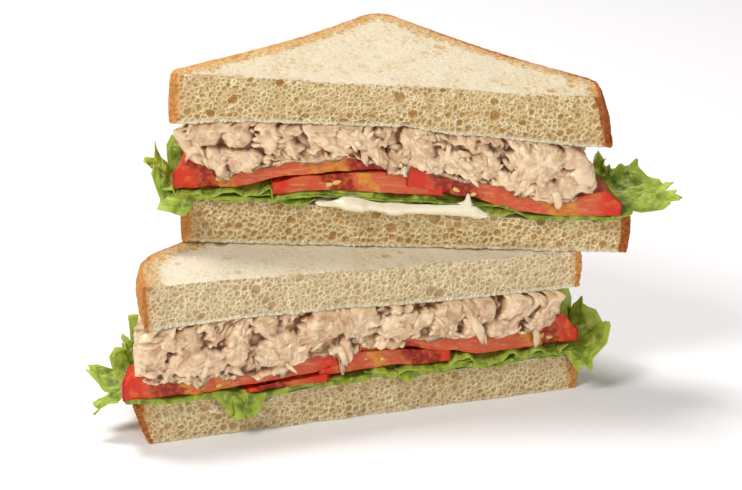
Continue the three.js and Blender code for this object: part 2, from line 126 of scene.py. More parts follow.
def along(*points):
    """A curve through a few (x, value) points, level beyond the first and the last."""
    places, values = np.array(points, float).T

    def curve(x):
        left = np.clip(np.searchsorted(places, x, side="right") - 1, 0, len(places) - 2)
        share = smooth((x - places[left]) / (places[left + 1] - places[left]), 0, 1)
        return mix(values[left], values[left + 1], share)

    return curve


def noise(points, size, seed):
    """Smooth noise from -1 to 1 with features of about size. size may differ along X, Y and Z."""
    lattice = np.random.default_rng(seed).uniform(-1, 1, (LATTICE, LATTICE, LATTICE))
    cells = points / np.asarray(size, float)
    base = np.floor(cells).astype(int)
    share = smooth(cells - base, 0, 1)
    value = np.zeros(len(points))
    for corner in itertools.product((0, 1), repeat=3):
        weight = np.prod(np.where(corner, share, 1 - share), axis=1)
        value += weight * lattice[tuple(((base + corner) % LATTICE).T)]
    return value


def flat_noise(first, second, size, seed):
    return noise(np.column_stack([first, second, 0 * first]), size, seed)


def outline(corners, spacings, arc=ARC_STEPS):
    """A closed outline in plan, counter-clockwise, and the number of the corner at or before each point.
    A corner is x, y, radius and bow, which is how far the stretch after it curves in."""
    places = np.array([corner[:2] for corner in corners], float)
    count = len(corners)
    turns = []
    for i, (_, _, radius, _) in enumerate(corners):
        back = places[i - 1] - places[i]
        on = places[(i + 1) % count] - places[i]
        back /= np.linalg.norm(back)
        on /= np.linalg.norm(on)
        reach = radius / math.tan(math.acos(np.clip(back @ on, -1, 1)) / 2)
        turns.append((places[i] + back * reach, places[i] + on * reach))
    points = []
    stretch = []
    for i, (start, end) in enumerate(turns):
        if corners[i][2]:
            for t in np.arange(arc) / arc:
                points.append((1 - t) ** 2 * start + 2 * t * (1 - t) * places[i] + t**2 * end)
                stretch.append(i)
        run = turns[(i + 1) % count][0] - end
        length = np.linalg.norm(run)
        inward = np.array([-run[1], run[0]]) / length
        steps = max(1, round(length / spacings[i]))
        for t in np.arange(steps) / steps:
            points.append(end + run * t + inward * corners[i][3] * math.sin(math.pi * t))
            stretch.append(i)
    return np.array(points), np.array(stretch)


def outward(points):
    """Outward directions at the points of a closed outline."""
    run = np.roll(points, -1, axis=0) - np.roll(points, 1, axis=0)
    return np.stack([run[:, 1], -run[:, 0]], axis=1) / np.linalg.norm(run, axis=1, keepdims=True)


def plan_corners(plan, shift=(0, 0)):
    """The corners of a half slice in plan. Each end is x, lean, shoulder and radius.
    The apex is x, y, radius and bow."""
    left, left_lean, left_shoulder, left_radius = plan["left"]
    right, right_lean, right_shoulder, right_radius = plan["right"]
    apex_x, apex_y, apex_radius, bow = plan["apex"]
    return [
        (left + shift[0], 0, 0, 0),
        (right + shift[1], 0, 0, 0),
        (right + shift[1] + right_lean, right_shoulder, right_radius, bow),
        (apex_x, apex_y, apex_radius, bow),
        (left + shift[0] + left_lean, left_shoulder, left_radius, 0),
    ]


def two_outlines(plan, shift, spacings, arc=ARC_STEPS):
    """The outlines of a layer's underside and of its top, with as many points in each."""
    below, stretch = outline(plan_corners(plan), spacings, arc)
    above, _ = outline(plan_corners(plan, shift), spacings, arc)
    share = np.linspace(0, len(above) - 1, len(below))
    above = np.stack([np.interp(share, np.arange(len(above)), above[:, axis]) for axis in (0, 1)], axis=1)
    return below, above, stretch


def inside(places, loop):
    """Which places lie inside a closed loop."""
    crossed = np.zeros(len(places), bool)
    for (x0, y0), (x1, y1) in zip(loop, np.roll(loop, -1, axis=0)):
        if y0 != y1:
            spans = (places[:, 1] > y0) != (places[:, 1] > y1)
            crossed ^= spans & (places[:, 0] < x0 + (x1 - x0) * (places[:, 1] - y0) / (y1 - y0))
    return crossed


def filled(loop, spacing, seed):
    """Points inside a loop, about spacing apart, and the triangles that join them and the loop."""
    random = np.random.default_rng(seed)
    low = loop.min(axis=0)
    high = loop.max(axis=0)
    columns = np.arange(low[0], high[0], spacing)
    rows = np.arange(low[1], high[1], spacing * ROW_APART)
    grid = np.array([(x + spacing / 2 * (r % 2), y) for r, y in enumerate(rows) for x in columns])
    grid += random.uniform(-0.2, 0.2, grid.shape) * spacing
    grid = grid[inside(grid, loop)]
    clear = np.ones(len(grid), bool)
    for place in loop:
        clear &= ((grid - place) ** 2).sum(axis=1) > (0.45 * spacing) ** 2
    grid = grid[clear]
    places = np.vstack([loop, grid])
    rim = [list(range(len(loop)))]
    _, _, faces, old, _, _ = delaunay_2d_cdt([tuple(place) for place in places], [], rim, 1, 1e-7, True)
    corners = np.array([[old[corner][0] for corner in face] for face in faces])
    return grid, corners[inside(places[corners].mean(axis=1), loop)].tolist()


def quads(*corners):
    """The quads whose first, second, third and fourth corners stand in four equal rows."""
    return np.stack(corners, axis=1).tolist()


def bands(rows, width, start=0):
    """The quads between closed rows of width points, each row after the one below it."""
    i = np.arange(width)
    j = (i + 1) % width
    faces = []
    for row in range(rows - 1):
        a = start + row * width
        faces += quads(a + i, a + j, a + width + j, a + width + i)
    return faces


def closed_layer(loops, low, high, base_spacing, top_spacing, seed):
    """A closed skin through loops from the lowest to the highest, and where its top and its base start."""
    width = len(loops[0])
    top_grid, top_faces = filled(loops[-1][:, :2], top_spacing, seed)
    base_grid, base_faces = filled(loops[0][:, :2], base_spacing, seed + 1)
    top = np.column_stack([top_grid, high(top_grid[:, 0], top_grid[:, 1])])
    base = np.column_stack([base_grid, low(base_grid[:, 0], base_grid[:, 1])])
    rim = (len(loops) - 1) * width
    top_start = len(loops) * width
    base_start = top_start + len(top)
    faces = bands(len(loops), width)
    faces += [[rim + v if v < width else top_start + v - width for v in face] for face in top_faces]
    faces += [[v if v < width else base_start + v - width for v in reversed(face)] for face in base_faces]
    return np.concatenate([*loops, top, base]), faces, top_start, base_start


def bubbles(low, high, radius_at, spread, tries, seed):
    """Bubbles packed over a flat area, the largest first. radius_at gives the usual radius at each place."""
    random = np.random.default_rng(seed)
    places = random.uniform(low, high, (tries, 2))
    radii = radius_at(places) * np.exp(random.normal(0, spread, tries))
    radii *= np.where(random.random(tries) < LARGE_BUBBLES, random.uniform(1.5, 2.2, tries), 1)
    order = np.argsort(-radii)
    kept = np.empty((tries, 3))
    count = 0
    for (x, y), radius in zip(places[order], radii[order]):
        near = kept[:count]
        apart_squared = (near[:, 0] - x) ** 2 + (near[:, 1] - y) ** 2
        if np.all(apart_squared > (BUBBLE_CLOSENESS * (near[:, 2] + radius)) ** 2):
            kept[count] = x, y, radius
            count += 1
    return kept[:count]


def batches(count, size=2000):
    """Slices that take count places a batch at a time."""
    return [slice(start, start + size) for start in range(0, count, size)]


def burst(places, foam, seed):
    """How deep the burst bubbles are at each place, and how near it is to a wall between two, from 0 to 1."""
    bent = places.copy()
    bent[:, 0] += 0.4 * flat_noise(places[:, 0], places[:, 1], 1.6, seed)
    bent[:, 1] += 0.4 * flat_noise(places[:, 0], places[:, 1], 1.6, seed + 1)
    depth = np.zeros(len(places))
    wall = np.zeros(len(places))
    for part in batches(len(places)):
        power = ((bent[part, None] - foam[None, :, :2]) ** 2).sum(axis=2) - foam[:, 2] ** 2
        nearest = np.argpartition(power, 1, axis=1)[:, :2]
        values = np.take_along_axis(power, nearest, axis=1)
        order = np.argsort(values, axis=1)
        nearest = np.take_along_axis(nearest, order, axis=1)
        first, second = np.take_along_axis(values, order, axis=1).T
        inner, outer = nearest.T
        apart = np.linalg.norm(foam[inner, :2] - foam[outer, :2], axis=1)
        edge = (second - first) / (2 * apart)
        radius = foam[inner, 2]
        share = np.clip(edge / (0.85 * radius), 0, 1)
        depth[part] = radius * np.sqrt(share * (2 - share))
        wall[part] = np.exp(-((edge / 0.28) ** 2))
    return depth, wall * (0.7 + 0.4 * flat_noise(places[:, 0], places[:, 1], 1.5, seed + 2))


def threads(roots, directions, lengths, radii, seed):
    """Thin torn threads of crumb, each bent a little and drawn out to a point."""
    random = np.random.default_rng(seed)
    directions = directions / np.linalg.norm(directions, axis=1, keepdims=True)
    side = np.cross(directions, random.normal(size=roots.shape))
    side /= np.linalg.norm(side, axis=1, keepdims=True)
    other = np.cross(directions, side)
    bend = random.normal(0, 0.3, roots.shape) * lengths[:, None]
    rows = []
    for step, thick in ((0, 1), (0.55, 0.7)):
        middle = roots + directions * (lengths * step)[:, None] + bend * step**2
        for angle in np.radians((0, 120, 240)):
            around = side * math.cos(angle) + other * math.sin(angle)
            rows.append(middle + around * (radii * thick)[:, None])
    rows.append(roots + directions * lengths[:, None] + bend)
    points = np.stack(rows, axis=1).reshape(-1, 3)
    one = [(0, 2, 1), (0, 1, 4, 3), (1, 2, 5, 4), (2, 0, 3, 5), (3, 4, 6), (4, 5, 6), (5, 3, 6)]
    faces = [[7 * number + corner for corner in face] for number in range(len(roots)) for face in one]
    return points, faces


def node(tree, kind, inputs=(), **settings):
    """A shader node. Each input is a number, a colour or the socket that feeds it."""
    made = tree.nodes.new(kind)
    for name, value in settings.items():
        setattr(made, name, value)
    for name, value in dict(inputs).items():
        if isinstance(value, bpy.types.NodeSocket):
            tree.links.new(value, made.inputs[name])
        else:
            made.inputs[name].default_value = value
    return made


def blended(tree, share, first, second):
    made = node(tree, "ShaderNodeMix", {0: share, 6: first, 7: second}, data_type="RGBA")
    return made.outputs[2]


def computed(tree, operation, *values):
    made = node(tree, "ShaderNodeMath", dict(enumerate(values)), operation=operation, use_clamp=True)
    return made.outputs[0]


def faint(tree, value, strength):
    return computed(tree, "MULTIPLY", value, strength)


def ranged(tree, value, low, high):
    """A value stretched so that low becomes 0 and high becomes 1."""
    inputs = {"Value": value, "From Min": low, "From Max": high}
    return node(tree, "ShaderNodeMapRange", inputs, interpolation_type="SMOOTHSTEP").outputs["Result"]


def mark(tree, name):
    return node(tree, "ShaderNodeAttribute", attribute_name=name).outputs["Fac"]


def new_material(name, roughness, specular, subsurface, radius, depth):
    """A material, its node tree and its shader. depth is how far light spreads in it, in millimetres."""
    material = bpy.data.materials.new(name)
    material.use_nodes = True
    shader = material.node_tree.nodes["Principled BSDF"]
    shader.inputs["Roughness"].default_value = roughness
    shader.inputs["Specular IOR Level"].default_value = specular
    shader.inputs["Subsurface Weight"].default_value = subsurface
    shader.inputs["Subsurface Radius"].default_value = radius
    shader.inputs["Subsurface Scale"].default_value = depth * MILLIMETRE
    return material, material.node_tree, shader


def dressed(tree, shader, colour, height, strength, distance):
    """Gives a shader its colour and its relief. distance is the height of the relief in millimetres."""
    inputs = {"Height": height, "Strength": strength, "Distance": distance * MILLIMETRE}
    bump = node(tree, "ShaderNodeBump", inputs).outputs["Normal"]
    tree.links.new(colour, shader.inputs["Base Color"])
    tree.links.new(bump, shader.inputs["Normal"])


mottle = bpy.data.node_groups.new("food mottle", "ShaderNodeTree")
mottle.interface.new_socket("Scale", in_out="INPUT", socket_type="NodeSocketFloat")
mottle.interface.new_socket("Detail", in_out="INPUT", socket_type="NodeSocketFloat")
mottle.interface.new_socket("Stretch", in_out="INPUT", socket_type="NodeSocketVector")
mottle.interface.new_socket("Value", in_out="OUTPUT", socket_type="NodeSocketFloat")
mottle_inputs = mottle.nodes.new("NodeGroupInput").outputs
mottle_place = node(mottle, "ShaderNodeTexCoord").outputs["Object"]
mottle_spot = node(mottle, "ShaderNodeMapping", {"Vector": mottle_place, "Scale": mottle_inputs["Stretch"]})
mottle_noise = node(
    mottle, "ShaderNodeTexNoise",
    {"Vector": mottle_spot.outputs[0], "Scale": mottle_inputs["Scale"], "Detail": mottle_inputs["Detail"]},
)
mottle.links.new(mottle_noise.outputs["Fac"], mottle.nodes.new("NodeGroupOutput").inputs["Value"])


def mottled(tree, size, detail=2.0, stretch=(1, 1, 1)):
    """Noise over the surface, with features of about size millimetres."""
    made = tree.nodes.new("ShaderNodeGroup")
    made.node_tree = mottle
    made.inputs["Scale"].default_value = 1 / (size * MILLIMETRE)
    made.inputs["Detail"].default_value = detail
    made.inputs["Stretch"].default_value = stretch
    return made.outputs["Value"]


def bread_material(name, cell):
    """Crumb and crust. cell is the usual size of the fine pores in millimetres."""
    material, tree, shader = new_material(name, 0.85, 0.2, 0.2, (1.0, 0.6, 0.3), 1.4)
    place = node(tree, "ShaderNodeTexCoord").outputs["Object"]
    warp = node(tree, "ShaderNodeTexNoise", {"Vector": place, "Scale": 700.0, "Detail": 1.0}).outputs["Color"]
    bent = node(tree, "ShaderNodeVectorMath", {0: warp, "Scale": 0.0009}, operation="SCALE").outputs[0]
    spot = node(tree, "ShaderNodeVectorMath", {0: place, 1: bent}, operation="ADD").outputs[0]
    inputs = {"Vector": spot, "Scale": 1 / (cell * MILLIMETRE)}
    net = node(tree, "ShaderNodeTexVoronoi", inputs, feature="DISTANCE_TO_EDGE").outputs["Distance"]
    net = computed(tree, "SUBTRACT", 1.0, ranged(tree, net, 0.0, 0.2))
    deep = mark(tree, "deep")
    shallow = computed(tree, "SUBTRACT", 1.0, ranged(tree, deep, 0.75, 1.3))
    net = faint(tree, computed(tree, "MULTIPLY", net, shallow), 0.35)
    walls = computed(tree, "MAXIMUM", net, mark(tree, "wall"))
    pores = ranged(tree, mottled(tree, 1.1, 3.0), 0.4, 0.66)
    # Painted shade: the deeper the pit, the darker its crumb.
    crumb = blended(tree, ranged(tree, deep, 0.35, 1.2), CRUMB_COLOUR, HOLLOW_SHADE_COLOUR)
    crumb = blended(tree, faint(tree, pores, 0.35), crumb, PORE_AND_SHADE_COLOUR)
    crumb = blended(tree, faint(tree, ranged(tree, deep, 0.8, 1.8), 0.3), crumb, PORE_AND_SHADE_COLOUR)
    patchy = ranged(tree, mottled(tree, 7.0), 0.35, 0.7)
    crumb = blended(tree, faint(tree, patchy, 0.2), crumb, WALL_COLOUR)
    # Painted light: the pale mark lays the lit face colour on tops, cut faces, torn edges and threads.
    crumb = blended(tree, faint(tree, mark(tree, "pale"), 0.9), crumb, LIT_FACE_COLOUR)
    crumb = blended(tree, walls, crumb, WALL_COLOUR)
    uneven = ranged(tree, mottled(tree, 1.8, 4.0, (1, 1, 0.8)), 0.35, 0.7)
    tone = computed(tree, "ADD", mark(tree, "brown"), faint(tree, uneven, 0.3))
    crust = blended(tree, tone, CRUST_PALE, CRUST_DARK)
    toast = computed(tree, "MULTIPLY", mark(tree, "toast"), ranged(tree, mottled(tree, 1.6, 3.0), -0.1, 0.45))
    colour = blended(tree, computed(tree, "ADD", toast, mark(tree, "skin")), crumb, crust)
    height = computed(tree, "ADD", walls, faint(tree, mottled(tree, 0.7, 3.0), 0.7))
    dressed(tree, shader, colour, height, 0.9, 0.45)
    return material


def bread_slice(name, half, plan, low, high, look, shift=(0, 0)):
    """One half slice. brown is how dark the crust is at its two ends, and left and right are where the crust
    starts and ends to fade there on the cut face. coarse is the usual radius of the bubbles at the lower and
    the upper edge. pale, white and torn are how far painted light lightens the top, the cut face and
    its lower edge, set slice by slice to how light falls there, and torn also sets how far that edge frays.
    fringe is how far the threads reach below the slice."""
    seed = look["seed"]
    below, above, stretch = two_outlines(plan, shift, [CUT_SPACING] + [CRUST_SPACING] * 4)
    cut = np.flatnonzero(stretch == 0)
    cut = np.append(cut, cut[-1] + 1)
    on_cut = np.zeros(len(below), bool)
    on_cut[cut] = True
    directions = outward(below)
    directions[on_cut] = np.stack([np.sign(below[on_cut, 0]), np.zeros(on_cut.sum())], axis=1)
    to_end = np.minimum(below[:, 0] - below[cut[0], 0], below[cut[-1], 0] - below[:, 0])
    near_cut = 1 - 0.6 * (1 - smooth(below[:, 1], 0, 12))
    bulge = np.where(on_cut, 0.4 * (1 - smooth(to_end, 0, 7)), near_cut) * CRUST_BULGE

    middle = (np.zeros(1), np.full(1, 5.0))
    thick = high(*middle)[0] - low(*middle)[0]
    levels = round(thick / LEVEL_SPACING)
    loops = []
    for level in range(levels + 1):
        t = level / levels
        from_edge = min(t, 1 - t) * thick
        rounding = EDGE_ROUND * (1 - math.sqrt(1 - max(0, 1 - from_edge / EDGE_ROUND) ** 2))
        spread = bulge * math.sin(math.pi * t) - rounding * np.where(on_cut & (to_end > 2), 0.5, 1)
        flat = mix(below, above, t) + directions * spread[:, None]
        flat[on_cut, 1] += 0.15 * rounding
        height = mix(low(flat[:, 0], flat[:, 1]), high(flat[:, 0], flat[:, 1]), t)
        loops.append(np.column_stack([flat, height]))
    width = len(below)
    side_count = (levels + 1) * width
    points, faces, _, base_start = closed_layer(loops, low, high, BASE_SPACING, look["top_spacing"], seed)
    count = len(points)
    extra = np.zeros(count - side_count)

    on_face = np.concatenate([np.tile(on_cut, levels + 1), extra > 0])
    on_top = np.zeros(count, bool)
    on_top[levels * width : base_start] = True
    level_of = np.concatenate([np.repeat(np.arange(levels + 1) / levels, width), extra])

    # Burst bubbles in the cut face, coarser towards one edge
    face = points[on_face][:, [0, 2]]
    face_low = face.min(axis=0) - 1
    face_high = face.max(axis=0) + 1

    def size_at(places):
        return mix(*look["coarse"], smooth(places[:, 1], face_low[1] + 2, face_high[1] - 1))

    foam = bubbles(face_low, face_high, size_at, CUT_BUBBLE_SPREAD, BUBBLE_TRIES, seed)
    depth, wall = burst(face, foam, seed + 20)
    deep = np.zeros(count)
    walls = np.zeros(count)
    deep[on_face] = depth
    walls[on_face] = wall
    t_face = level_of[on_face]
    edge_fade = 0.35 + 0.65 * smooth(np.minimum(t_face, 1 - t_face) * thick, 0, 0.8)
    rough = 0.2 * noise(points[on_face], 0.9, seed + 9) + 0.5 * noise(points[on_face], 9, seed + 10)
    low_edge = 1 - smooth(t_face * thick, 0.1, 1.2)
    high_edge = 1 - smooth((1 - t_face) * thick, 0, 0.8)
    frills = low_edge * (0.5 + 0.5 * noise(points[on_face], 0.8, seed + 13)) * look["torn"]
    points[on_face, 1] += (depth + 0.2 * (1 - wall)) * edge_fade + rough - 0.7 * frills
    torn = on_face & (level_of == 0)
    points[torn, 2] += 0.15 * deep[torn] + 0.3 * np.abs(noise(points[torn], 0.7, seed + 2))
    points[torn, 2] -= 0.7 * max(0, look["fringe"])
    frayed = on_face & (level_of == 1)
    points[frayed, 2] -= 0.4 * np.abs(noise(points[frayed], 1.1, seed + 3))
    points[frayed, 1] += 0.4 * np.abs(noise(points[frayed], 0.8, seed + 4))

    # Finer pits in the upper face, open in a band along the crust
    to_crust = np.full(count, FAR_AWAY)
    crust_line = mix(below, above, 0.5)[~on_cut]
    for part in batches(count):
        apart = points[part, None, :2] - crust_line[None]
        to_crust[part] = np.sqrt((apart**2).sum(axis=2).min(axis=1))
    skin = np.concatenate([np.tile(~on_cut, levels + 1), extra > 0]).astype(float)
    top_places = points[on_top][:, :2]
    area = (top_places.min(axis=0), top_places.max(axis=0))
    top_foam = bubbles(*area, lambda places: TOP_BUBBLE, TOP_BUBBLE_SPREAD, BUBBLE_TRIES, seed + 5)
    top_depth, _ = burst(top_places, top_foam, seed + 22)
    open_band = smooth(to_crust[on_top], 0.5, 2) * (1 - smooth(to_crust[on_top], 4, 9))
    open_spots = smooth(noise(points[on_top], 6, seed + 6), -0.3, 0.7)
    pits = top_depth * mix(mix(0.35, 0.8, open_spots), 1.0, open_band)
    grain = 0.12 * noise(points[on_top], 0.9, seed + 11) + 0.3 * noise(points[on_top], 12, seed + 12)
    points[on_top, 2] -= 0.6 * pits * smooth(to_crust[on_top], 0, 1.2) - grain
    deep[on_top] = pits * mix(0.7, 1.5, open_band) * (1 - skin[on_top])

    wrinkle = skin * (0.3 * noise(points, (1.4, 1.4, 3.5), seed + 7) + 0.2 * noise(points, 0.8, seed + 8))
    points[:side_count, :2] += np.tile(directions, (levels + 1, 1)) * wrinkle[:side_count, None]

    # Crust at the ends of the cut face, and toasted crumb beside the crust
    ragged = 0.5 * noise(points[on_face], (3, 3, 2.2), seed + 14)
    left_end = mix(below[cut[0], 0], above[cut[0], 0], t_face)
    right_end = mix(below[cut[-1], 0], above[cut[-1], 0], t_face)
    at_left = 1 - smooth(points[on_face, 0] - left_end + ragged, *look["left"])
    at_right = 1 - smooth(right_end - points[on_face, 0] + ragged, *look["right"])
    skin[on_face] = np.clip(at_left + at_right, 0, 1)
    walls *= 1 - skin
    toast = np.exp(-np.clip(to_crust - 0.4, 0, None)) + 0.35 * np.exp(-to_crust / 3.2)
    # Painted light: the pale mark lays the lit face colour on the top, less in its deeper pits as painted
    # shade, and on the cut face as much as the slice's white, more along its torn lower edge and its top
    # edge.
    pale = np.where(on_top, smooth(1.1 - deep, 0.1, 1.0) * look["pale"], 0.0)
    pale[on_face] = np.clip(look["white"] + look["torn"] * low_edge + 0.5 * high_edge, 0, 1)
    marks = {
        "deep": deep,
        "wall": walls,
        "toast": np.clip(toast, 0, 1),
        "skin": skin,
        "brown": mix(*look["brown"], smooth(points[:, 0], -60, 60)) * mix(0.75, 1, skin),
        "pale": pale * (1 - skin),
    }

    # Torn threads over the cut face, many of them along its foot
    random = np.random.default_rng(seed + 30)
    x = random.uniform(below[cut[0], 0] + 3, below[cut[-1], 0] - 8, THREADS)
    t = random.uniform(0.02, 0.97, THREADS) * np.where(np.arange(THREADS) < FOOT_THREADS, 0.08, 1)
    roots = np.column_stack([x, random.uniform(0, 0.5, THREADS), mix(low(x, 0 * x), high(x, 0 * x), t)])
    lean = random.normal(0, 1, (THREADS, 3))
    lean[:, 1] = -0.4 * np.abs(lean[:, 1])
    lengths = random.uniform(0.35, 0.95, THREADS)
    radii = random.uniform(0.05, 0.1, THREADS)
    thread_points, thread_faces = threads(roots, lean, lengths, radii, seed + 31)
    lowest = low(thread_points[:, 0], thread_points[:, 1]) - look["fringe"]
    thread_points[:, 2] = np.maximum(thread_points[:, 2], lowest)
    points = np.vstack([points, thread_points])
    faces += [[corner + count for corner in thread] for thread in thread_faces]
    # The threads take the wall colour and the lit face colour, painted light over the shade they stand in.
    thread_marks = {"wall": 0.9, "pale": 0.8}
    for mark_name, values in marks.items():
        thread_values = np.full(len(thread_points), thread_marks.get(mark_name, 0.0))
        marks[mark_name] = np.concatenate([values, thread_values])
    piece(name, half, points, faces, look["material"], marks, [name])


def raked(line):
    return lambda x, y: line(x) + RAKE * y


def fading(line, level):
    return lambda x, y: mix(line(x), level, smooth(y, 5, 35))


lower_plan = {"left": (-73.5, 2, 21, 24), "right": (73.5, -1, 7, 6), "apex": (-2, 72, 9, 1)}
upper_plan = {"left": (-73.5, 1, 5, 4), "right": (73, 1, 15, 9), "apex": (-4, 73, 8, 1)}
lid_plan = {"left": (-78, 0.5, 3.5, 3), "right": (65, 1, 15, 9), "apex": (-9, 70.5, 8, 2.5)}

lower_base_line = along((-74, 14.3), (-50, 13.4), (-33, 12), (-13, 13.2), (8, 13.2), (40, 12.6), (73, 13.4))
upper_base_line = along((-74, 15.6), (-35, 14.4), (0, 12.4), (36, 11.4), (64, 11.4), (73, 13.2))
lower_base_high = fading(lower_base_line, 14)
upper_base_high = fading(upper_base_line, 14)
lower_lid_low = raked(along((-73, 39), (-43, 39.7), (-14, 38.9), (22, 37.4), (72, 36.7)))
upper_lid_low = raked(along((-78, 40.8), (-52, 42), (-5, 41.8), (16, 39.4), (60, 36.6)))
upper_lid_high = raked(along((-78, 57.5), (-10, 55.4), (60, 53.7)))


def lower_lid_high(x, y):
    return REST_HEIGHT - math.tan(math.radians(REST_TILT_Y)) * x + RAKE * y


def flat_base(x, y):
    return 0 * x


crumb = bread_material("white crumb", 0.75)
# pale, white and torn set how much painted light each slice's crumb gets, to suit how light falls on it.
covered = {"material": crumb, "top_spacing": 1.8, "pale": 0.5, "torn": 0.25, "fringe": 0.4}
seen_above = {"material": crumb, "top_spacing": 0.58, "torn": 0.9, "fringe": 0.5}
bread_slice(
    "lower_bottom_slice", lower_half, lower_plan, flat_base, lower_base_high,
    {
        **covered, "seed": 3, "brown": (0.7, 0.1), "left": (0.8, 1.8), "right": (0.5, 3.5),
        "coarse": (0.58, 0.52), "white": 0.1, "fringe": -0.1,
    },
    shift=(-4.5, 0),
)
bread_slice(
    "lower_top_slice", lower_half, lower_plan, lower_lid_low, lower_lid_high,
    {
        **seen_above, "seed": 13, "brown": (0.45, 0.1), "left": (0.8, 1.5), "right": (0.5, 2.4),
        "coarse": (0.58, 0.54), "white": 0.3, "pale": 0.9,
    },
)
bread_slice(
    "upper_bottom_slice", upper_half, upper_plan, flat_base, upper_base_high,
    {
        **covered, "seed": 23, "brown": (0.05, 0.8), "left": (0.0, 4.5), "right": (2.4, 3.3),
        "coarse": (0.66, 0.6), "white": 0.0, "torn": 0.7,
    },
)
bread_slice(
    "upper_top_slice", upper_half, lid_plan, upper_lid_low, upper_lid_high,
    {
        **seen_above, "seed": 33, "brown": (0.0, 0.85), "left": (0.3, 4.5), "right": (1.6, 2.5),
        "coarse": (0.68, 0.48), "white": 0.0, "pale": 0.7,
    },
    shift=(0.5, -5.5),
)

# Tomato
# Slices of ripe tomato, 2 to 10 mm thick, cut through with the bread. Each has red skin round its rim, a firm
# wall under the skin, and wet pockets between that wall and the lighter core, a few of them with seeds.
TOMATO_STEP = 0.35
TOMATO_LEVELS = 18
SKIN_BULGE = 1
SEED_TURNS = 10
SEED_ROWS = 6

SKIN_COLOUR = (0.42, 0.008, 0.003, 1)
WALL_FLESH_COLOUR = (0.62, 0.03, 0.006, 1)
ORANGE_COLOUR = (0.76, 0.15, 0.022, 1)
CORE_COLOUR = (0.62, 0.105, 0.032, 1)
STREAK_COLOUR = (0.78, 0.32, 0.14, 1)
POCKET_COLOUR = (0.3, 0.01, 0.002, 1)
JELLY_COLOUR = (0.52, 0.08, 0.008, 1)
AMBER_COLOUR = (0.68, 0.27, 0.03, 1)
SEED_COLOUR = (0.78, 0.42, 0.09, 1)
SEED_PALE = (0.8, 0.55, 0.22, 1)


def tomato_material():
    material, tree, shader = new_material("ripe tomato", 0.25, 0.25, 0.15, (1.0, 0.25, 0.12), 1.5)
    shader.inputs["Coat Weight"].default_value = 0.15
    shader.inputs["Coat Roughness"].default_value = 0.05
    veined = ranged(tree, mottled(tree, 1.6, 4.0, (0.35, 1, 1.5)), 0.46, 0.68)
    flesh = blended(tree, faint(tree, veined, 0.45), CORE_COLOUR, STREAK_COLOUR)
    patches = ranged(tree, mottled(tree, 3.0, 3.0), 0.5, 0.7)
    firm = blended(tree, faint(tree, patches, 0.7), WALL_FLESH_COLOUR, ORANGE_COLOUR)
    uneven = faint(tree, ranged(tree, mottled(tree, 4.0, 4.0), 0.45, 0.7), 0.45)
    flesh = blended(tree, computed(tree, "ADD", mark(tree, "red"), uneven), flesh, firm)
    jelly = blended(tree, ranged(tree, mottled(tree, 1.8, 3.0), 0.45, 0.65), POCKET_COLOUR, JELLY_COLOUR)
    flesh = blended(tree, mark(tree, "pocket"), flesh, jelly)
    spotted = ranged(tree, mottled(tree, 1.4, 3.0, (0.5, 1, 1)), 0.3, 0.6)
    golden = computed(tree, "MULTIPLY", mark(tree, "amber"), spotted)
    flesh = blended(tree, golden, flesh, AMBER_COLOUR)
    flesh = blended(tree, mark(tree, "skin"), flesh, SKIN_COLOUR)
    dressed(tree, shader, flesh, mottled(tree, 0.8, 3.0), 0.45, 0.3)
    return material


def seed_material():
    material, tree, shader = new_material("tomato seed", 0.18, 0.5, 0.3, (1.0, 0.6, 0.2), 1.0)
    colour = blended(tree, mottled(tree, 0.8), SEED_COLOUR, SEED_PALE)
    dressed(tree, shader, colour, mottled(tree, 0.5), 0.3, 0.1)
    return material


def tomato(middle, across, deep, front, low, high, pockets, amber, seed):
    """The facts of a slice. low and high are its underside and its top, as points (x, height). Each pocket
    and each amber spot is its place along the cut face and its half width."""
    return {
        "middle": middle, "across": across, "deep": deep, "front": front,
        "low": along(*low), "high": along(*high), "pockets": pockets, "amber": amber, "seed": seed,
    }


def insides(points, spec):
    """What lies at each point of a tomato slice: a wet pocket, golden jelly, the red wall, and the skin."""
    (centre_x, centre_y), across, deep = spec["middle"], spec["across"], spec["deep"]
    share = np.hypot((points[:, 0] - centre_x) / across, (points[:, 1] - centre_y) / deep)
    from_rim = (1 - share) * min(across, deep)
    low, high = spec["low"](points[:, 0]), spec["high"](points[:, 0])
    rise = (points[:, 2] - low) / (high - low) - 0.5
    wander = 1.8 * noise(points, 4, spec["seed"]) + 0.9 * noise(points, 1.5, spec["seed"] + 1)
    place = points[:, 0] + 3.0 * rise + wander
    found = []
    for spots in (spec["pockets"], spec["amber"]):
        mask = 0 * place
        for x, half_wide in spots:
            mask = np.maximum(mask, 1 - smooth(np.abs(place - x) / half_wide, 0.7, 1.15))
        found.append(mask * smooth(from_rim + 0.4 * wander, 2.0, 3.2))
    red = 1 - smooth(from_rim + 0.7 * wander, 3.5, 7.5)
    skin = 1 - smooth(from_rim, 0.35, 0.6)
    return found[0], found[1], red, skin


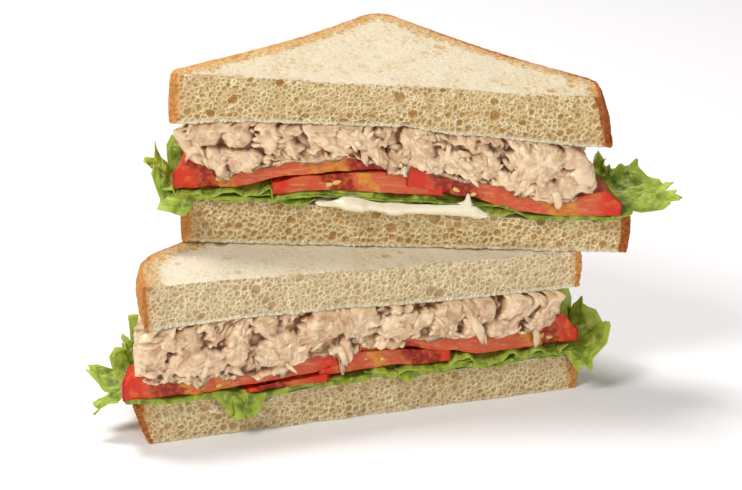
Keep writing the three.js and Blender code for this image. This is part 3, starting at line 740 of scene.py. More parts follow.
def tomato_slice(name, half, spec, material):
    (centre_x, centre_y), across, deep, front = spec["middle"], spec["across"], spec["deep"], spec["front"]
    reach = math.acos(np.clip((front - centre_y) / deep, -1, 1))
    arc_steps = round(2 * reach * (across + deep) / 2 / (TOMATO_STEP * 1.6))
    angles = math.pi / 2 + np.linspace(-reach, reach, arc_steps + 1)
    rim = np.column_stack([centre_x + across * np.cos(angles), centre_y + deep * np.sin(angles)])
    chord_steps = round(np.linalg.norm(rim[0] - rim[-1]) / TOMATO_STEP)
    chord = mix(rim[-1], rim[0], (np.arange(1, chord_steps) / chord_steps)[:, None])
    loop = np.vstack([rim, chord])
    on_rim = np.arange(len(loop)) <= arc_steps
    directions = outward(loop)
    directions[on_rim] = np.column_stack([np.cos(angles), np.sin(angles)])
    from_cut = smooth(loop[:, 1] - front, 0, 3) * on_rim
    to_end = np.minimum(loop[:, 0] - rim[-1, 0], rim[0, 0] - loop[:, 0])
    bulge = mix(0.1, SKIN_BULGE, from_cut)
    inset = np.where(on_rim, mix(0.05, 0.4, from_cut), mix(0.05, 0.5, smooth(to_end, 0, 2.5)))
    sag = 0.45 * flat_noise(loop[:, 0], loop[:, 1], 9, spec["seed"] + 5)
    loops = []
    for level in range(TOMATO_LEVELS + 1):
        t = level / TOMATO_LEVELS
        curve = math.sqrt(max(0, 1 - (2 * t - 1) ** 2))
        flat = loop + directions * (bulge * curve - inset * (1 - curve))[:, None]
        rise = 0.5 - 0.5 * math.cos(math.pi * t)
        height = mix(spec["low"](flat[:, 0]) + 0.5 * np.abs(sag), spec["high"](flat[:, 0]) + sag * 0.6, rise)
        loops.append(np.column_stack([flat, height]))
    points, faces, top_start, base_start = closed_layer(
        loops, lambda x, y: spec["low"](x), lambda x, y: spec["high"](x), 2.2, 0.9, spec["seed"]
    )
    pocket, amber, red, skin = insides(points, spec)
    rest = np.zeros(len(points) - top_start, bool)
    on_chord = np.concatenate([np.tile(~on_rim, TOMATO_LEVELS + 1), rest])
    on_top = np.zeros(len(points), bool)
    on_top[top_start:base_start] = True
    uneven = 0.35 * noise(points, 2.4, spec["seed"] + 2) + 0.2 * noise(points, 1.1, spec["seed"] + 3)
    dent = 0.6 * pocket + uneven * mix(0.7, 1.3, np.maximum(pocket, amber))
    points[on_chord, 1] += dent[on_chord]
    points[on_top, 2] -= 0.7 * dent[on_top]
    outer = on_rim & (loop[:, 1] > front + 0.3)
    skin = np.maximum(np.concatenate([np.tile(outer, TOMATO_LEVELS + 1), rest]), skin)
    marks = {"pocket": pocket, "amber": amber, "red": red, "skin": skin}
    piece(name, half, points, faces, material, marks, [name])


def spindle(rows, width, start=0):
    """The faces of closed rows of width points, shut by the two points after them, one at each end."""
    first_tip = start + rows * width
    last_row = first_tip - width
    faces = bands(rows, width, start)
    for i in range(width):
        j = (i + 1) % width
        faces.append([first_tip, start + j, start + i])
        faces.append([first_tip + 1, last_row + i, last_row + j])
    return faces


def seeds(name, half, places, material, seed):
    """Seeds at the cut face, each at its x, y and height."""
    random = np.random.default_rng(seed)
    around = np.linspace(0, 2 * math.pi, SEED_TURNS, endpoint=False)
    bodies = []
    faces = []
    for place in places:
        tilt = random.uniform(-0.7, 0.7)
        drop = []
        for b in np.linspace(0, math.pi, SEED_ROWS + 2)[1:-1]:
            girth = math.sin(b) * (1 - 0.35 * math.cos(b))
            drop += [(math.cos(b), girth * math.cos(a), girth * math.sin(a)) for a in around]
        drop += [(1, 0, 0), (-1, 0, 0)]
        body = np.array(drop) * (random.uniform(1.1, 1.5), 0.5, random.uniform(0.65, 0.85))
        turn = np.array(turned(math.degrees(tilt), "Y").to_3x3())
        faces += spindle(SEED_ROWS, SEED_TURNS, len(bodies) * len(body))
        bodies.append(body @ turn.T + place)
    piece(name, half, np.concatenate(bodies), faces, material, {}, [])


lower_tomatoes = [
    tomato((-2, 42), 22, 21, 15, [(0, 18), (1, 18)], [(0, 24), (1, 24)], [(-12, 5), (9, 5)], [], 71),
    tomato(
        (-28, 2), 14, 12, -1.6, [(-41, 14.2), (-16, 14.6)], [(-41, 15.6), (-30, 16.4), (-16, 17.2)],
        [(-33, 5)], [], 72,
    ),
    tomato(
        (5, -6), 23, 24, -1, [(-16, 16.8), (8, 17.2), (18, 15.8), (27, 16.2)],
        [(-16, 19), (-4, 23.4), (28, 21)], [(18, 6)], [(2, 3)], 73,
    ),
    tomato(
        (-46, -6), 36, 28, -1.2, [(-81, 16.4), (-60, 15.6), (-40, 16.8), (-20, 18), (-11, 20)],
        [(-81.5, 21.6), (-77.5, 24.4), (-69, 22.8), (-46, 20.8), (-33, 20.6), (-18, 25)],
        [(-66, 6)], [(-59, 3), (-50, 2)], 74,
    ),
    tomato(
        (34, -6), 39, 30, -1.3, [(-5, 24), (12, 23), (27, 20), (38, 17.6), (73, 18)],
        [(-5, 25.5), (20, 26.2), (50, 24.2), (60, 25), (66.5, 28.2), (72.5, 22.2)],
        [(10, 5), (62, 3.5)], [(56, 3)], 75,
    ),
]
upper_tomatoes = [
    tomato((-4, 43), 23, 21, 15, [(0, 18), (1, 18)], [(0, 24), (1, 24)], [(-14, 5), (8, 5)], [], 81),
    tomato(
        (-17, -4), 28, 26, -0.8, [(-44, 17.6), (-28, 19.4), (-3, 19), (9, 18.6)],
        [(-44, 21.8), (-33, 24.3), (-18, 25.6), (-5, 26.6), (4, 24)], [(-23, 5)], [(-13, 2.5)], 82,
    ),
    tomato(
        (-42, -4), 34.5, 28, -1.2, [(-76, 19), (-60, 19.6), (-36, 24.6), (-22, 26.2), (-8, 27.2)],
        [(-76.3, 24.2), (-72.5, 28.8), (-58, 25.6), (-36, 30), (-23, 31.5), (-8, 30)],
        [(-65, 5), (-15, 6)], [(-60, 3), (-28, 7)], 83,
    ),
    tomato(
        (34, -4), 35.5, 28, -1.6, [(-1, 21.9), (19, 18.4), (36, 14), (50, 12.8), (69, 13.4)],
        [(-1, 29.8), (19, 24.9), (50, 18.8), (63.5, 21.6), (69, 18)], [(14.5, 8)], [(49, 6)], 84,
    ),
]
ripe = tomato_material()
yellow = seed_material()
for half_name, half, specs in (("lower", lower_half, lower_tomatoes), ("upper", upper_half, upper_tomatoes)):
    for number, spec in enumerate(specs, 1):
        tomato_slice(f"{half_name}_tomato_{number}", half, spec, ripe)
lower_seeds = [(-50.3, -1, 18), (-1.3, -0.8, 20.9), (4.6, -0.8, 19.8), (59.6, -1, 21.4), (62.4, -1, 20.4)]
upper_seeds = [
    (-23.7, -0.4, 22.3), (-26.2, -0.4, 21.4), (-61.4, -0.9, 22.8), (-28, -0.9, 29.2),
    (15, -1.1, 21), (21, -1.1, 19.8), (52.6, -1.3, 16.6),
]
seeds("lower_tomato_seeds", lower_half, lower_seeds, yellow, 90)
seeds("upper_tomato_seeds", upper_half, upper_seeds, yellow, 91)

# Lettuce
# One green leaf in each half. It lies on the bottom slice, runs through the whole half in folds, and stands
# out past the crust in crumpled, toothed lobes with pale veins.
LEAF_THICKNESS = 0.5
LEAF_LAYER = 0.6
LEAF_MARGIN = 1.3
LOOSE = 0.8
LEAF_STEP = 0.6
BACK_STEP = 1.6
SIDE_REACH = 60
LEAF_ROWS = (0.02, 0.3, 0.6, 0.8, 0.9, 0.95, 0.98, 1.0)
FRILL_ROWS = 24
RUFFLE = 11
STEM_APART = 7.0
VEIN_APART = 2.6
FOLD_STEP = 0.5
FOLD_ROWS = 14
FOLD_DEPTH = 8.0

LEAF_COLOUR = (0.35, 0.43, 0.032, 1)
LEAF_DARK = (0.12, 0.2, 0.012, 1)
# The edge colour is also painted on the crests of the blisters, as a painted highlight.
LEAF_EDGE_AND_HIGHLIGHT = (0.42, 0.5, 0.06, 1)
VEIN_COLOUR = (0.55, 0.6, 0.18, 1)


def heap(spread, x, y):
    """How far the leaf is lifted over a spread, from 0 on bare bread to 1 over the mayonnaise."""
    left, right, _, back, _ = spread
    rise = smooth(x, left - 14, left - 4)
    return rise * (1 - smooth(x, right + 4, right + 14)) * (1 - smooth(y, back + 4, back + 14))


def leaf_bed(bread_top, wave, spread):
    """The height of the middle of the leaf."""

    def bed(x, y):
        swell = wave * (0.5 + 0.5 * np.sin(0.23 * x + 1) * np.cos(0.19 * y))
        lift = (spread[4] + LOOSE) * heap(spread, x, y) if spread else 0
        return bread_top(x, y) + LOOSE + LEAF_LAYER / 2 + swell + lift

    return bed


def lettuce_material():
    material, tree, shader = new_material("green lettuce", 0.42, 0.35, 0.3, (0.7, 1.0, 0.2), 1.0)
    patches = ranged(tree, mottled(tree, 3.6, 3.0), 0.36, 0.64)
    green = blended(tree, patches, LEAF_DARK, LEAF_COLOUR)
    # Painted highlight on the crests of the blisters.
    green = blended(tree, mark(tree, "crest"), green, LEAF_EDGE_AND_HIGHLIGHT)
    green = blended(tree, mark(tree, "edge"), green, LEAF_EDGE_AND_HIGHLIGHT)
    green = blended(tree, faint(tree, mark(tree, "vein"), 0.8), green, VEIN_COLOUR)
    height = computed(tree, "ADD", mark(tree, "vein"), faint(tree, mottled(tree, 1.3, 3.0), 0.9))
    dressed(tree, shader, green, height, 0.8, 0.5)
    return material


def veins(run, out, share):
    """Pale veins of a leaf: stems that run outward and a net of finer ones between them."""
    stem = np.abs((run + 0.25 * out) / STEM_APART % 1 - 0.5) * 2 * STEM_APART
    one = np.abs((run + 0.9 * out) / VEIN_APART % 1 - 0.5) * 2 * VEIN_APART
    other = np.abs((run - 0.9 * out) / VEIN_APART % 1 - 0.5) * 2 * VEIN_APART
    net = 0.5 * np.exp(-((np.minimum(one, other) / 0.22) ** 2))
    return np.maximum(np.exp(-((stem / 0.45) ** 2)) * (1 - 0.6 * share), net)


def crumpled(grid, seed):
    """How far a leaf is pushed up and down by its blisters."""
    flat = grid.reshape(-1, 3)
    push = 1 - 2 * np.abs(noise(flat, 3.4, seed)) + 0.6 * (1 - 2 * np.abs(noise(flat, 1.8, seed + 1)))
    return push.reshape(grid.shape[:2])


def thickened(grid, normals, thin, closed):
    """Both faces of a sheet of rows of points, joined at its edges. closed says whether each row is a loop,
    and then the first row stays open."""
    rows, count = grid.shape[:2]
    lower = (grid - normals * thin).reshape(-1, 3)
    upper = (grid + normals * thin).reshape(-1, 3)
    wrap = count if closed else count - 1
    i = np.arange(wrap)
    j = (i + 1) % count
    size = rows * count
    faces = []
    for row in range(rows - 1):
        a = row * count
        b = size + a
        faces += quads(a + i, a + j, a + count + j, a + count + i)
        faces += quads(b + j, b + i, b + count + i, b + count + j)
    last = (rows - 1) * count
    faces += quads(last + i, last + j, size + last + j, size + last + i)
    if not closed:
        faces += quads(j, i, size + i, size + j)
        for edge, order in ((0, 1), (count - 1, -1)):
            side = np.arange(rows - 1) * count + edge
            corners = [side, side + count, size + side + count, size + side]
            faces += quads(*corners[::order])
    return np.vstack([lower, upper]), faces


def wavy(run, length, shift=0):
    return np.sin(2 * math.pi * run / length + shift)


def leaf(name, half, plan, bed, frill, lobes, ruffle_height, material, seed):
    """A leaf, thinner at its edge. Each lobe is its place along the edge, its width, reach and lift. frill is
    the reach and the lift between the lobes."""
    edge, _ = outline(plan_corners(plan), [2] * 5, 8)
    edge = edge + outward(edge) * LEAF_MARGIN
    closed = np.vstack([edge, edge[:1]])
    lengths = np.concatenate([[0], np.cumsum(np.linalg.norm(np.diff(closed, axis=0), axis=1))])
    length = lengths[-1]
    front = plan["right"][0] - plan["left"][0]
    stations = np.concatenate([
        np.arange(0, front + SIDE_REACH, LEAF_STEP),
        np.arange(front + SIDE_REACH, length - SIDE_REACH, BACK_STEP),
        np.arange(length - SIDE_REACH, length - LEAF_STEP / 2, LEAF_STEP),
    ])
    rim = np.stack([np.interp(stations, lengths, closed[:, axis]) for axis in (0, 1)], axis=1)
    directions = outward(rim)
    reach = np.full(len(stations), float(frill[0]))
    lift = np.full(len(stations), float(frill[1]))
    for at, wide, lobe_reach, lobe_lift in lobes:
        away = np.abs(stations - at)
        share = 1 - smooth(np.minimum(away, length - away) / (wide / 2), 0.3, 1)
        reach = mix(reach, lobe_reach, share)
        lift = mix(lift, lobe_lift, share)
    zero = 0 * stations
    deep_teeth = mix(0.25, 1, smooth(np.minimum(np.abs(stations - front), length - stations), 30, 5))
    deep_teeth = np.where(stations > front, 1, deep_teeth)
    tooth = np.abs((stations / 2.4 + 0.7 * flat_noise(stations, zero, 5, seed)) % 1 - 0.5) * 2
    bite = 0.2 * flat_noise(stations, zero, 4.2, seed + 1) + 0.12 * flat_noise(stations, zero, 1.3, seed + 4)
    ragged = mix(0.8, 1.02, tooth) + bite
    long_lobe = smooth(reach, 2, 8)
    reach = reach * mix(1, ragged, (0.35 + 0.65 * long_lobe) * deep_teeth)

    middle = rim.mean(axis=0)
    rows = []
    for fraction in LEAF_ROWS:
        flat = mix(middle, rim, fraction)
        rows.append(np.column_stack([flat, bed(flat[:, 0], flat[:, 1])]))
    base_height = bed(rim[:, 0], rim[:, 1])
    outs = [zero] * len(rows)
    swing = wavy(stations, RUFFLE) + 0.5 * wavy(stations, 0.41 * RUFFLE, seed)
    curl = wavy(stations, 4.1, 2.5 * flat_noise(stations, zero, 7, seed + 5))
    for step in range(1, FRILL_ROWS + 1):
        f = step / FRILL_ROWS
        climb = np.radians(lift * mix(0.75, 1.1, f))
        wave = f**1.4 * np.minimum(reach / 4, ruffle_height) * swing + 1.1 * f**3 * long_lobe * curl
        out = reach * f * np.cos(climb) + np.abs(wave * np.sin(climb))
        up = reach * f * np.sin(climb) + wave * np.cos(climb)
        rows.append(np.column_stack([rim + directions * out[:, None], base_height + up]))
        outs.append(f * reach)
    grid = np.array(rows)
    around = np.roll(grid, -1, axis=1) - np.roll(grid, 1, axis=1)
    inner = np.concatenate([grid[:1], grid[:-1]])
    outer = np.concatenate([grid[1:], grid[-1:]])
    normals = np.cross(outer - inner, around)
    normals /= np.linalg.norm(normals, axis=2, keepdims=True)
    out = np.array(outs)
    share = out / np.maximum(reach, 0.1)
    push = crumpled(grid, seed + 6)
    grid = grid + normals * (0.75 * push * smooth(out, 0.5, 4))[:, :, None]
    thin = LEAF_THICKNESS / 2 * mix(1, 0.45, smooth(share, 0.5, 1))[:, :, None]
    points, faces = thickened(grid, normals, thin, True)
    count = len(stations)
    faces.append(list(range(count))[::-1])
    faces.append([len(points) // 2 + i for i in range(count)])
    meander = stations + 1.2 * flat_noise(stations, zero, 9, seed + 3)
    marks = {
        "vein": veins(meander[None], out, share),
        "edge": 0.9 * smooth(share, 0.6, 1.0) * smooth(out, 0.5, 3),
        # Painted highlight on the crests of the blisters.
        "crest": 0.5 * smooth(push, 0.6, 1.4) * smooth(out, 0.5, 4),
    }
    marks = {mark_name: np.tile(values.ravel(), 2) for mark_name, values in marks.items()}
    piece(name, half, points, faces, material, marks, [name])


def underside(specs, x):
    """The lowest tomato over each place along the cut face, or far above where there is none."""
    height = np.full(len(x), FAR_AWAY)
    for spec in specs:
        (centre_x, centre_y), across, deep = spec["middle"], spec["across"], spec["deep"]
        reach = across * math.sqrt(max(0, 1 - ((spec["front"] - centre_y) / deep) ** 2))
        if spec["front"] < 5:
            height = np.where(np.abs(x - centre_x) < reach, np.minimum(height, spec["low"](x)), height)
    return height


def folds(name, half, strips, bread_top, specs, material, seed):
    """Crumpled folds of the leaf at the cut face, between the bread and the tomato. Each strip is its start
    and end, how high it lies in that space, its wave, how far it stands out and how far its edge hangs."""
    points = []
    faces = []
    marks = {"vein": [], "edge": [], "crest": []}
    total = 0
    for number, (start, end, place, wave, stand, drop) in enumerate(strips):
        x = np.arange(start, end, FOLD_STEP)
        zero = 0 * x
        floor = bread_top(x, zero) + 0.55
        room = np.clip(underside(specs, x) - 0.45 - floor, 0.5, 6.5)
        swing = wavy(x, wave, 2 * flat_noise(x, zero, 12, seed + number))
        swing += 0.3 * wavy(x, 0.37 * wave, 3 * flat_noise(x, zero, 6, seed + 5 + number))
        fade = smooth(x, start, start + 5) * (1 - smooth(x, end - 5, end))
        lip = (stand + 0.7 * flat_noise(x, zero, 3.5, seed + 10 + number)) * mix(0.3, 1, fade)
        rows = []
        for row in range(FOLD_ROWS):
            f = row / (FOLD_ROWS - 1)
            y = mix(FOLD_DEPTH, 0, f**0.6) - lip * smooth(f, 0.55, 1)
            rise = room * place + 0.34 * np.minimum(room, 4) * swing * smooth(f, 0.1, 0.9) * fade
            height = floor + np.minimum(rise, room) - drop * fade * smooth(f, 0.8, 1)
            rows.append(np.column_stack([x, y, height]))
        grid = np.array(rows)
        run = np.gradient(grid, axis=1)
        out = np.gradient(grid, axis=0)
        normals = np.cross(out, run)
        normals /= np.linalg.norm(normals, axis=2, keepdims=True)
        push = crumpled(grid, seed + 20 + number)
        grid = grid + normals * 0.22 * push[:, :, None]
        strip_points, strip_faces = thickened(grid, normals, LEAF_THICKNESS / 2, False)
        points.append(strip_points)
        faces += [[corner + total for corner in face] for face in strip_faces]
        total += len(strip_points)
        share = np.broadcast_to((np.arange(FOLD_ROWS) / (FOLD_ROWS - 1))[:, None], grid.shape[:2])
        marks["vein"].append(np.tile(veins(x[None], FOLD_DEPTH * share, 0.3 * share).ravel(), 2))
        marks["edge"].append(np.tile((0.55 * smooth(share, 0.85, 1)).ravel(), 2))
        # Painted highlight on the crests of the crumpled folds.
        marks["crest"].append(np.tile((0.6 * smooth(push, 0.4, 1.3)).ravel(), 2))
    marks = {mark_name: np.concatenate(values) for mark_name, values in marks.items()}
    piece(name, half, np.concatenate(points), faces, material, marks, [])


upper_spread = (-30, 26, -1.6, 20, 2.2)
lower_bed = leaf_bed(lower_base_high, 1.2, None)
upper_bed = leaf_bed(upper_base_high, 0.5, upper_spread)
lettuce = lettuce_material()
leaf(
    "lower_lettuce", lower_half, {**lower_plan, "left": (-79, 2, 21, 24), "right": (75, -1, 7, 6)}, lower_bed,
    (1.2, -60),
    [
        (265, 190, 6, 12),
        (36, 18, 8, -84),
        (92, 8, 3, -80),
        (153, 9, 7, -45),
        (159, 10, 11, 30),
        (165, 9, 14, 60),
        (172, 11, 18, 78),
        (366, 9, 14, -40),
        (358, 10, 13, 12),
        (349, 12, 11, 62),
        (335, 26, 17, 72),
    ],
    2.0, lettuce, 41,
)
leaf(
    "upper_lettuce", upper_half, {**upper_plan, "left": (-75, 1, 5, 4), "right": (71, 1, 15, 9)}, upper_bed,
    (1, -60),
    [
        (265, 190, 6, 12),
        (72, 110, 0.4, 0),
        (150, 10, 1.5, 0),
        (156, 9, 16, 6),
        (161, 10, 14, 20),
        (167, 12, 12, 42),
        (174, 16, 11, 76),
        (367, 8, 7, -50),
        (359, 12, 14, 46),
        (349, 16, 16, 56),
    ],
    1.8, lettuce, 51,
)
folds(
    "lower_lettuce_folds", lower_half,
    [
        (-77, -30, 0.35, 19, 1.0, 0.7),
        (-14, 72, 0.3, 17, 1.3, 0.9),
        (-2, 70, 0.65, 14, 1.7, 1.1),
        (-52, -36, 0.4, 15, 2.4, 1.7),
    ],
    lower_base_high, lower_tomatoes, lettuce, 61,
)
folds(
    "upper_lettuce_folds", upper_half,
    [(-80, -30, 0.3, 27, 1.2, 0.8), (-74, -26, 0.7, 21, 1.5, 1.0), (-32, 36, 0.8, 26, 0.4, 2.0)],
    upper_base_high, upper_tomatoes, lettuce, 66,
)

# Mayonnaise
# A spread on the upper half's bottom slice. It oozes out at the cut face, where one drip clings to the tomato
# above it, and a thin smear has run down the lower half's bottom slice.
MAYONNAISE_COLOUR = (0.92, 0.83, 0.62, 1)
MAYONNAISE_SHADE = (0.84, 0.68, 0.4, 1)
DRIP_AT = 19
DRIP_HEIGHT = 4.6
OOZE_LEVELS = 16
SMEAR_STEPS = 40
SMEAR_COLUMNS = 15


def mayonnaise_material():
    material, tree, shader = new_material("mayonnaise", 0.2, 0.5, 0.3, (1.0, 0.8, 0.5), 1.5)
    cream = blended(tree, ranged(tree, mottled(tree, 3.0), 0.45, 0.85), MAYONNAISE_COLOUR, MAYONNAISE_SHADE)
    dressed(tree, shader, cream, mottled(tree, 1.8), 0.35, 0.4)
    return material


def mayonnaise(name, half, spread, bread_top, material):
    left, right, front, back, thick = spread
    corners = [(left, front, 2, 0), (right, front, 2, 0), (right, back, 7, 0), (left, back, 7, 0)]
    loop, _ = outline(corners, [0.5, 1.5, 1.5, 1.5], 5)
    directions = outward(loop)
    at_front = loop[:, 1] < 2
    from_drip = np.abs(loop[:, 0] - DRIP_AT)
    drip = (0.6 * np.exp(-((from_drip / 0.9) ** 4)) + 0.4 * np.exp(-((from_drip / 3.5) ** 2))) * at_front
    full = smooth(loop[:, 0], left, left + 12) * (1 - smooth(loop[:, 0], right - 8, right + 1))
    uneven = flat_noise(loop[:, 0], loop[:, 1], 6, 61) + 0.5 * flat_noise(loop[:, 0], loop[:, 1], 2, 63)
    ooze = smooth(uneven, -0.5, 0.7)
    fat = mix(1.25, 0.55, smooth(loop[:, 0], left, right))
    climb = along((-31, 1.6), (-21, 2.4), (-8, 1.1), (7, 1.4), (15, 1.8), (27, 1.0))(loop[:, 0])
    loops = []
    for level in range(OOZE_LEVELS + 1):
        t = level / OOZE_LEVELS
        belly = mix(-0.4, 1.9 * fat, math.sin(math.pi * t**0.8))
        flat = loop + directions * (belly * mix(0.6, 1.1, ooze) * mix(0.3, 1, full))[:, None]
        floor = bread_top(flat[:, 0], flat[:, 1]) + np.where(at_front, -1.1 * ooze * full, 0.2)
        rise = thick * mix(0.95, 1.2, ooze) + np.where(at_front, 1.1 * ooze + climb, 0)
        rise = rise * mix(0.3, 1, full) + DRIP_HEIGHT * drip
        loops.append(np.column_stack([flat, floor + t * rise]))
    points, faces, _, _ = closed_layer(
        loops, lambda x, y: bread_top(x, y) + 0.2, lambda x, y: bread_top(x, y) + 0.3 + 0.6 * thick,
        base_spacing=3, top_spacing=1.5, seed=62,
    )
    piece(name, half, points, faces, material, {}, [name])


def smear(name, half, line, material, seed):
    """A thin smear down the cut face. Each point of its line is x, height and half width."""
    line = np.array(line, float)
    share = np.linspace(0, len(line) - 1, SMEAR_STEPS)
    x, height, wide = (np.interp(share, np.arange(len(line)), line[:, axis]) for axis in range(3))
    across = np.linspace(-1, 1, SMEAR_COLUMNS)
    edge = 1 + 0.35 * flat_noise(share * 4, 0 * share, 2.2, seed)
    grid_x = x[:, None] + (wide * edge)[:, None] * across
    grid_z = height[:, None] + 0.3 * wide[:, None] * across
    taper = np.sin(math.pi * np.linspace(0.03, 0.97, SMEAR_STEPS))[:, None] ** 0.4
    crown = np.sqrt(np.clip(1 - across**2, 0, 1)) * taper
    lumps = 0.8 + 0.3 * flat_noise(grid_x.ravel(), grid_z.ravel(), 1.5, seed + 1).reshape(grid_x.shape)
    grid = np.stack([grid_x, 0.2 - 0.75 * crown * lumps, grid_z], axis=2)
    normals = np.zeros_like(grid)
    normals[:, :, 1] = -1
    points, faces = thickened(grid, normals, 0.12, False)
    piece(name, half, points, faces, material, {}, [])


cream = mayonnaise_material()
mayonnaise("upper_mayonnaise", upper_half, upper_spread, upper_base_high, cream)
smear(
    "lower_mayonnaise_smear", lower_half,
    [
        (-31.6, 11.8, 0.4), (-34, 10.4, 1.2), (-37.2, 9, 0.9),
        (-39.4, 8, 1.5), (-37.6, 6, 0.6), (-36.2, 4.8, 0.3),
    ],
    cream, 95,
)

# Chicken salad
# Cooked chicken pulled into flakes and short chunks, and bound with a creamy dressing. It is heaped on the
# tomato and pressed by the slice above, so ragged chunks stand out of the cut face and hang over the tomato.
# Each size of flake is its range of lengths, its range of widths as shares of the length, and how many.
SALAD_STEP = 0.42
SIDE_STEP = 1.0
SALAD_LEVELS = 54
CENTRE_TO_SIDE = 28
FARTHEST_OUT = 4.6
FLAKE_SIZES = (((6, 11), (0.3, 0.55), 150), ((2.5, 5.5), (0.3, 0.6), 520), ((1.2, 2.8), (0.35, 0.7), 1300))
SMALL_FLAKE = 6
LOOSE_SHREDS = 60
SHRED_STEP = 0.45

CHICKEN_COLOUR = (0.52, 0.24, 0.095, 1)
# The dressing colour is also painted on ridges of the salad, as a painted highlight.
DRESSING_AND_HIGHLIGHT_COLOUR = (0.94, 0.72, 0.46, 1)
# Crevices of the salad are painted dark in the recess colour, a painted shade.
RECESS_SHADE_COLOUR = (0.17, 0.05, 0.012, 1)
PINK_COLOUR = (0.54, 0.22, 0.12, 1)


def chicken_material():
    material, tree, shader = new_material("dressed chicken", 0.28, 0.5, 0.12, (1.0, 0.55, 0.35), 1.0)
    shader.inputs["Coat Weight"].default_value = 0.5
    shader.inputs["Coat Roughness"].default_value = 0.1
    patches = ranged(tree, mottled(tree, 3.2, 4.0), 0.4, 0.6)
    cream = computed(tree, "ADD", faint(tree, patches, 0.5), mark(tree, "tone"))
    meat = blended(tree, cream, CHICKEN_COLOUR, DRESSING_AND_HIGHLIGHT_COLOUR)
    pink = faint(tree, ranged(tree, mottled(tree, 6.0, 2.0), 0.54, 0.72), 0.55)
    meat = blended(tree, pink, meat, PINK_COLOUR)
    # Painted highlight: ridges of the relief take the dressing colour.
    meat = blended(tree, faint(tree, mark(tree, "ridge"), 0.6), meat, DRESSING_AND_HIGHLIGHT_COLOUR)
    # Painted shade in the hollows of the relief.
    meat = blended(tree, mark(tree, "recess_shade"), meat, RECESS_SHADE_COLOUR)
    dressed(tree, shader, meat, mottled(tree, 0.8, 4.0), 0.6, 0.35)
    return material


def salad_floor(specs, bed):
    """The height that the chicken salad lies on: the tomato under it, or the leaf where there is none."""

    def floor(x, y):
        height = bed(x, y) + 1.5
        for spec in specs:
            (centre_x, centre_y), across, deep = spec["middle"], spec["across"], spec["deep"]
            under = (np.hypot((x - centre_x) / across, (y - centre_y) / deep) < 1) & (y > spec["front"] - 4)
            height = np.where(under, np.maximum(height, spec["high"](x)), height)
        return height

    return floor


def flaked(run, up, flakes, seed):
    """The relief of overlapping flakes, given along and up the salad's side: how far each place stands out,
    the tone of its flake, and whether it is on a ridge. A flake is run, up, length, width, tilt, stand, lean
    and tone. A small flake lies on what is under it."""
    bent_run = run + flat_noise(run, up, 3.0, seed) + 0.5 * flat_noise(run, up, 1.2, seed + 1)
    bent_up = up + flat_noise(run, up, 3.0, seed + 2) + 0.5 * flat_noise(run, up, 1.2, seed + 3)
    stand_out = -0.9 + 0.9 * flat_noise(run, up, 5.0, seed + 4) + 0.4 * flat_noise(run, up, 2.2, seed + 5)
    tone = 0.15 + 0.2 * flat_noise(run, up, 4.0, seed + 6)
    ridge = np.zeros(len(run))
    for number, (at, height, length, width, tilt, stand, lean, flake_tone) in enumerate(flakes):
        away = np.maximum(np.abs(bent_run - at), np.abs(bent_up - height))
        near = np.flatnonzero(away < 0.75 * length)
        away_run = bent_run[near] - at
        away_up = bent_up[near] - height
        s = away_run * math.cos(tilt) + away_up * math.sin(tilt)
        t = away_up * math.cos(tilt) - away_run * math.sin(tilt)
        body = 1 - np.abs(2 * s / length) ** 2.3 - np.abs(2 * t / width) ** 2.1
        if body.max(initial=0) <= 0:
            continue
        fibre = 1 - 2 * np.abs(flat_noise(s * 0.14, t * 1.1, 1, seed + 10 + number))
        level = stand * np.clip(body, 0, 1) ** 0.42 + lean * (s / length + (-1) ** number * 0.8 * t / width)
        level += 0.45 * fibre * smooth(width, 1, 4) + 0.25 * flat_noise(s * 0.6, t, 0.9, seed + 9)
        if length < SMALL_FLAKE:
            level += 0.75 * stand_out[near[body > 0]].mean()
        over = (body > 0) & (level > stand_out[near])
        stand_out[near[over]] = level[over]
        tone[near[over]] = flake_tone
        ridge[near[over]] = np.clip(0.3 + 0.7 * fibre[over], 0, 1)
    return np.minimum(stand_out, FARTHEST_OUT), tone, ridge


def blurred(grid, reach):
    """A grid with each value replaced by the mean of those up to reach steps away. Each row is a loop."""
    steps = range(-reach, reach + 1)
    rows = np.arange(len(grid))
    grid = sum(np.roll(grid, step, axis=1) for step in steps) / len(steps)
    return sum(grid[np.clip(rows + step, 0, len(grid) - 1)] for step in steps) / len(steps)


def shred(length, width, depth, seed):
    """A pulled shred of chicken along X: ridges run along it, and its ends are torn."""
    rings = max(6, round(length / SHRED_STEP))
    spokes = max(8, round(math.pi * (width + depth) / 2 / SHRED_STEP))
    s_grid, angle_grid = np.meshgrid(
        np.linspace(-1, 1, rings), np.linspace(0, 2 * math.pi, spokes, endpoint=False), indexing="ij"
    )
    s, angle = s_grid.ravel(), angle_grid.ravel()
    taper = np.sqrt(np.clip(1 - np.abs(s) ** 2.4, 0.01, 1))
    torn = 0.3 * flat_noise(np.cos(angle) * 3 + 9, np.sin(angle) * 3 + 2 * np.sign(s), 1, seed)
    bow = 0.12 * length * s**2
    points = np.column_stack([
        s * length / 2 * (1 + torn * smooth(np.abs(s), 0.3, 1)),
        taper * np.cos(angle) * depth / 2 + bow,
        taper * np.sin(angle) * width / 2,
    ])
    across = np.column_stack([0 * s, np.cos(angle), np.sin(angle)])
    relief = 0.35 * noise(points, (3.5, 0.7, 0.7), seed + 1) + 0.3 * noise(points, 1.6, seed + 2)
    points += across * (relief * min(1, width / 2.5))[:, None]
    ends = [points[:spokes].mean(axis=0) - (0.15, 0, 0), points[-spokes:].mean(axis=0) + (0.15, 0, 0)]
    return np.vstack([points, *ends]), [face[::-1] for face in spindle(rings, spokes)]


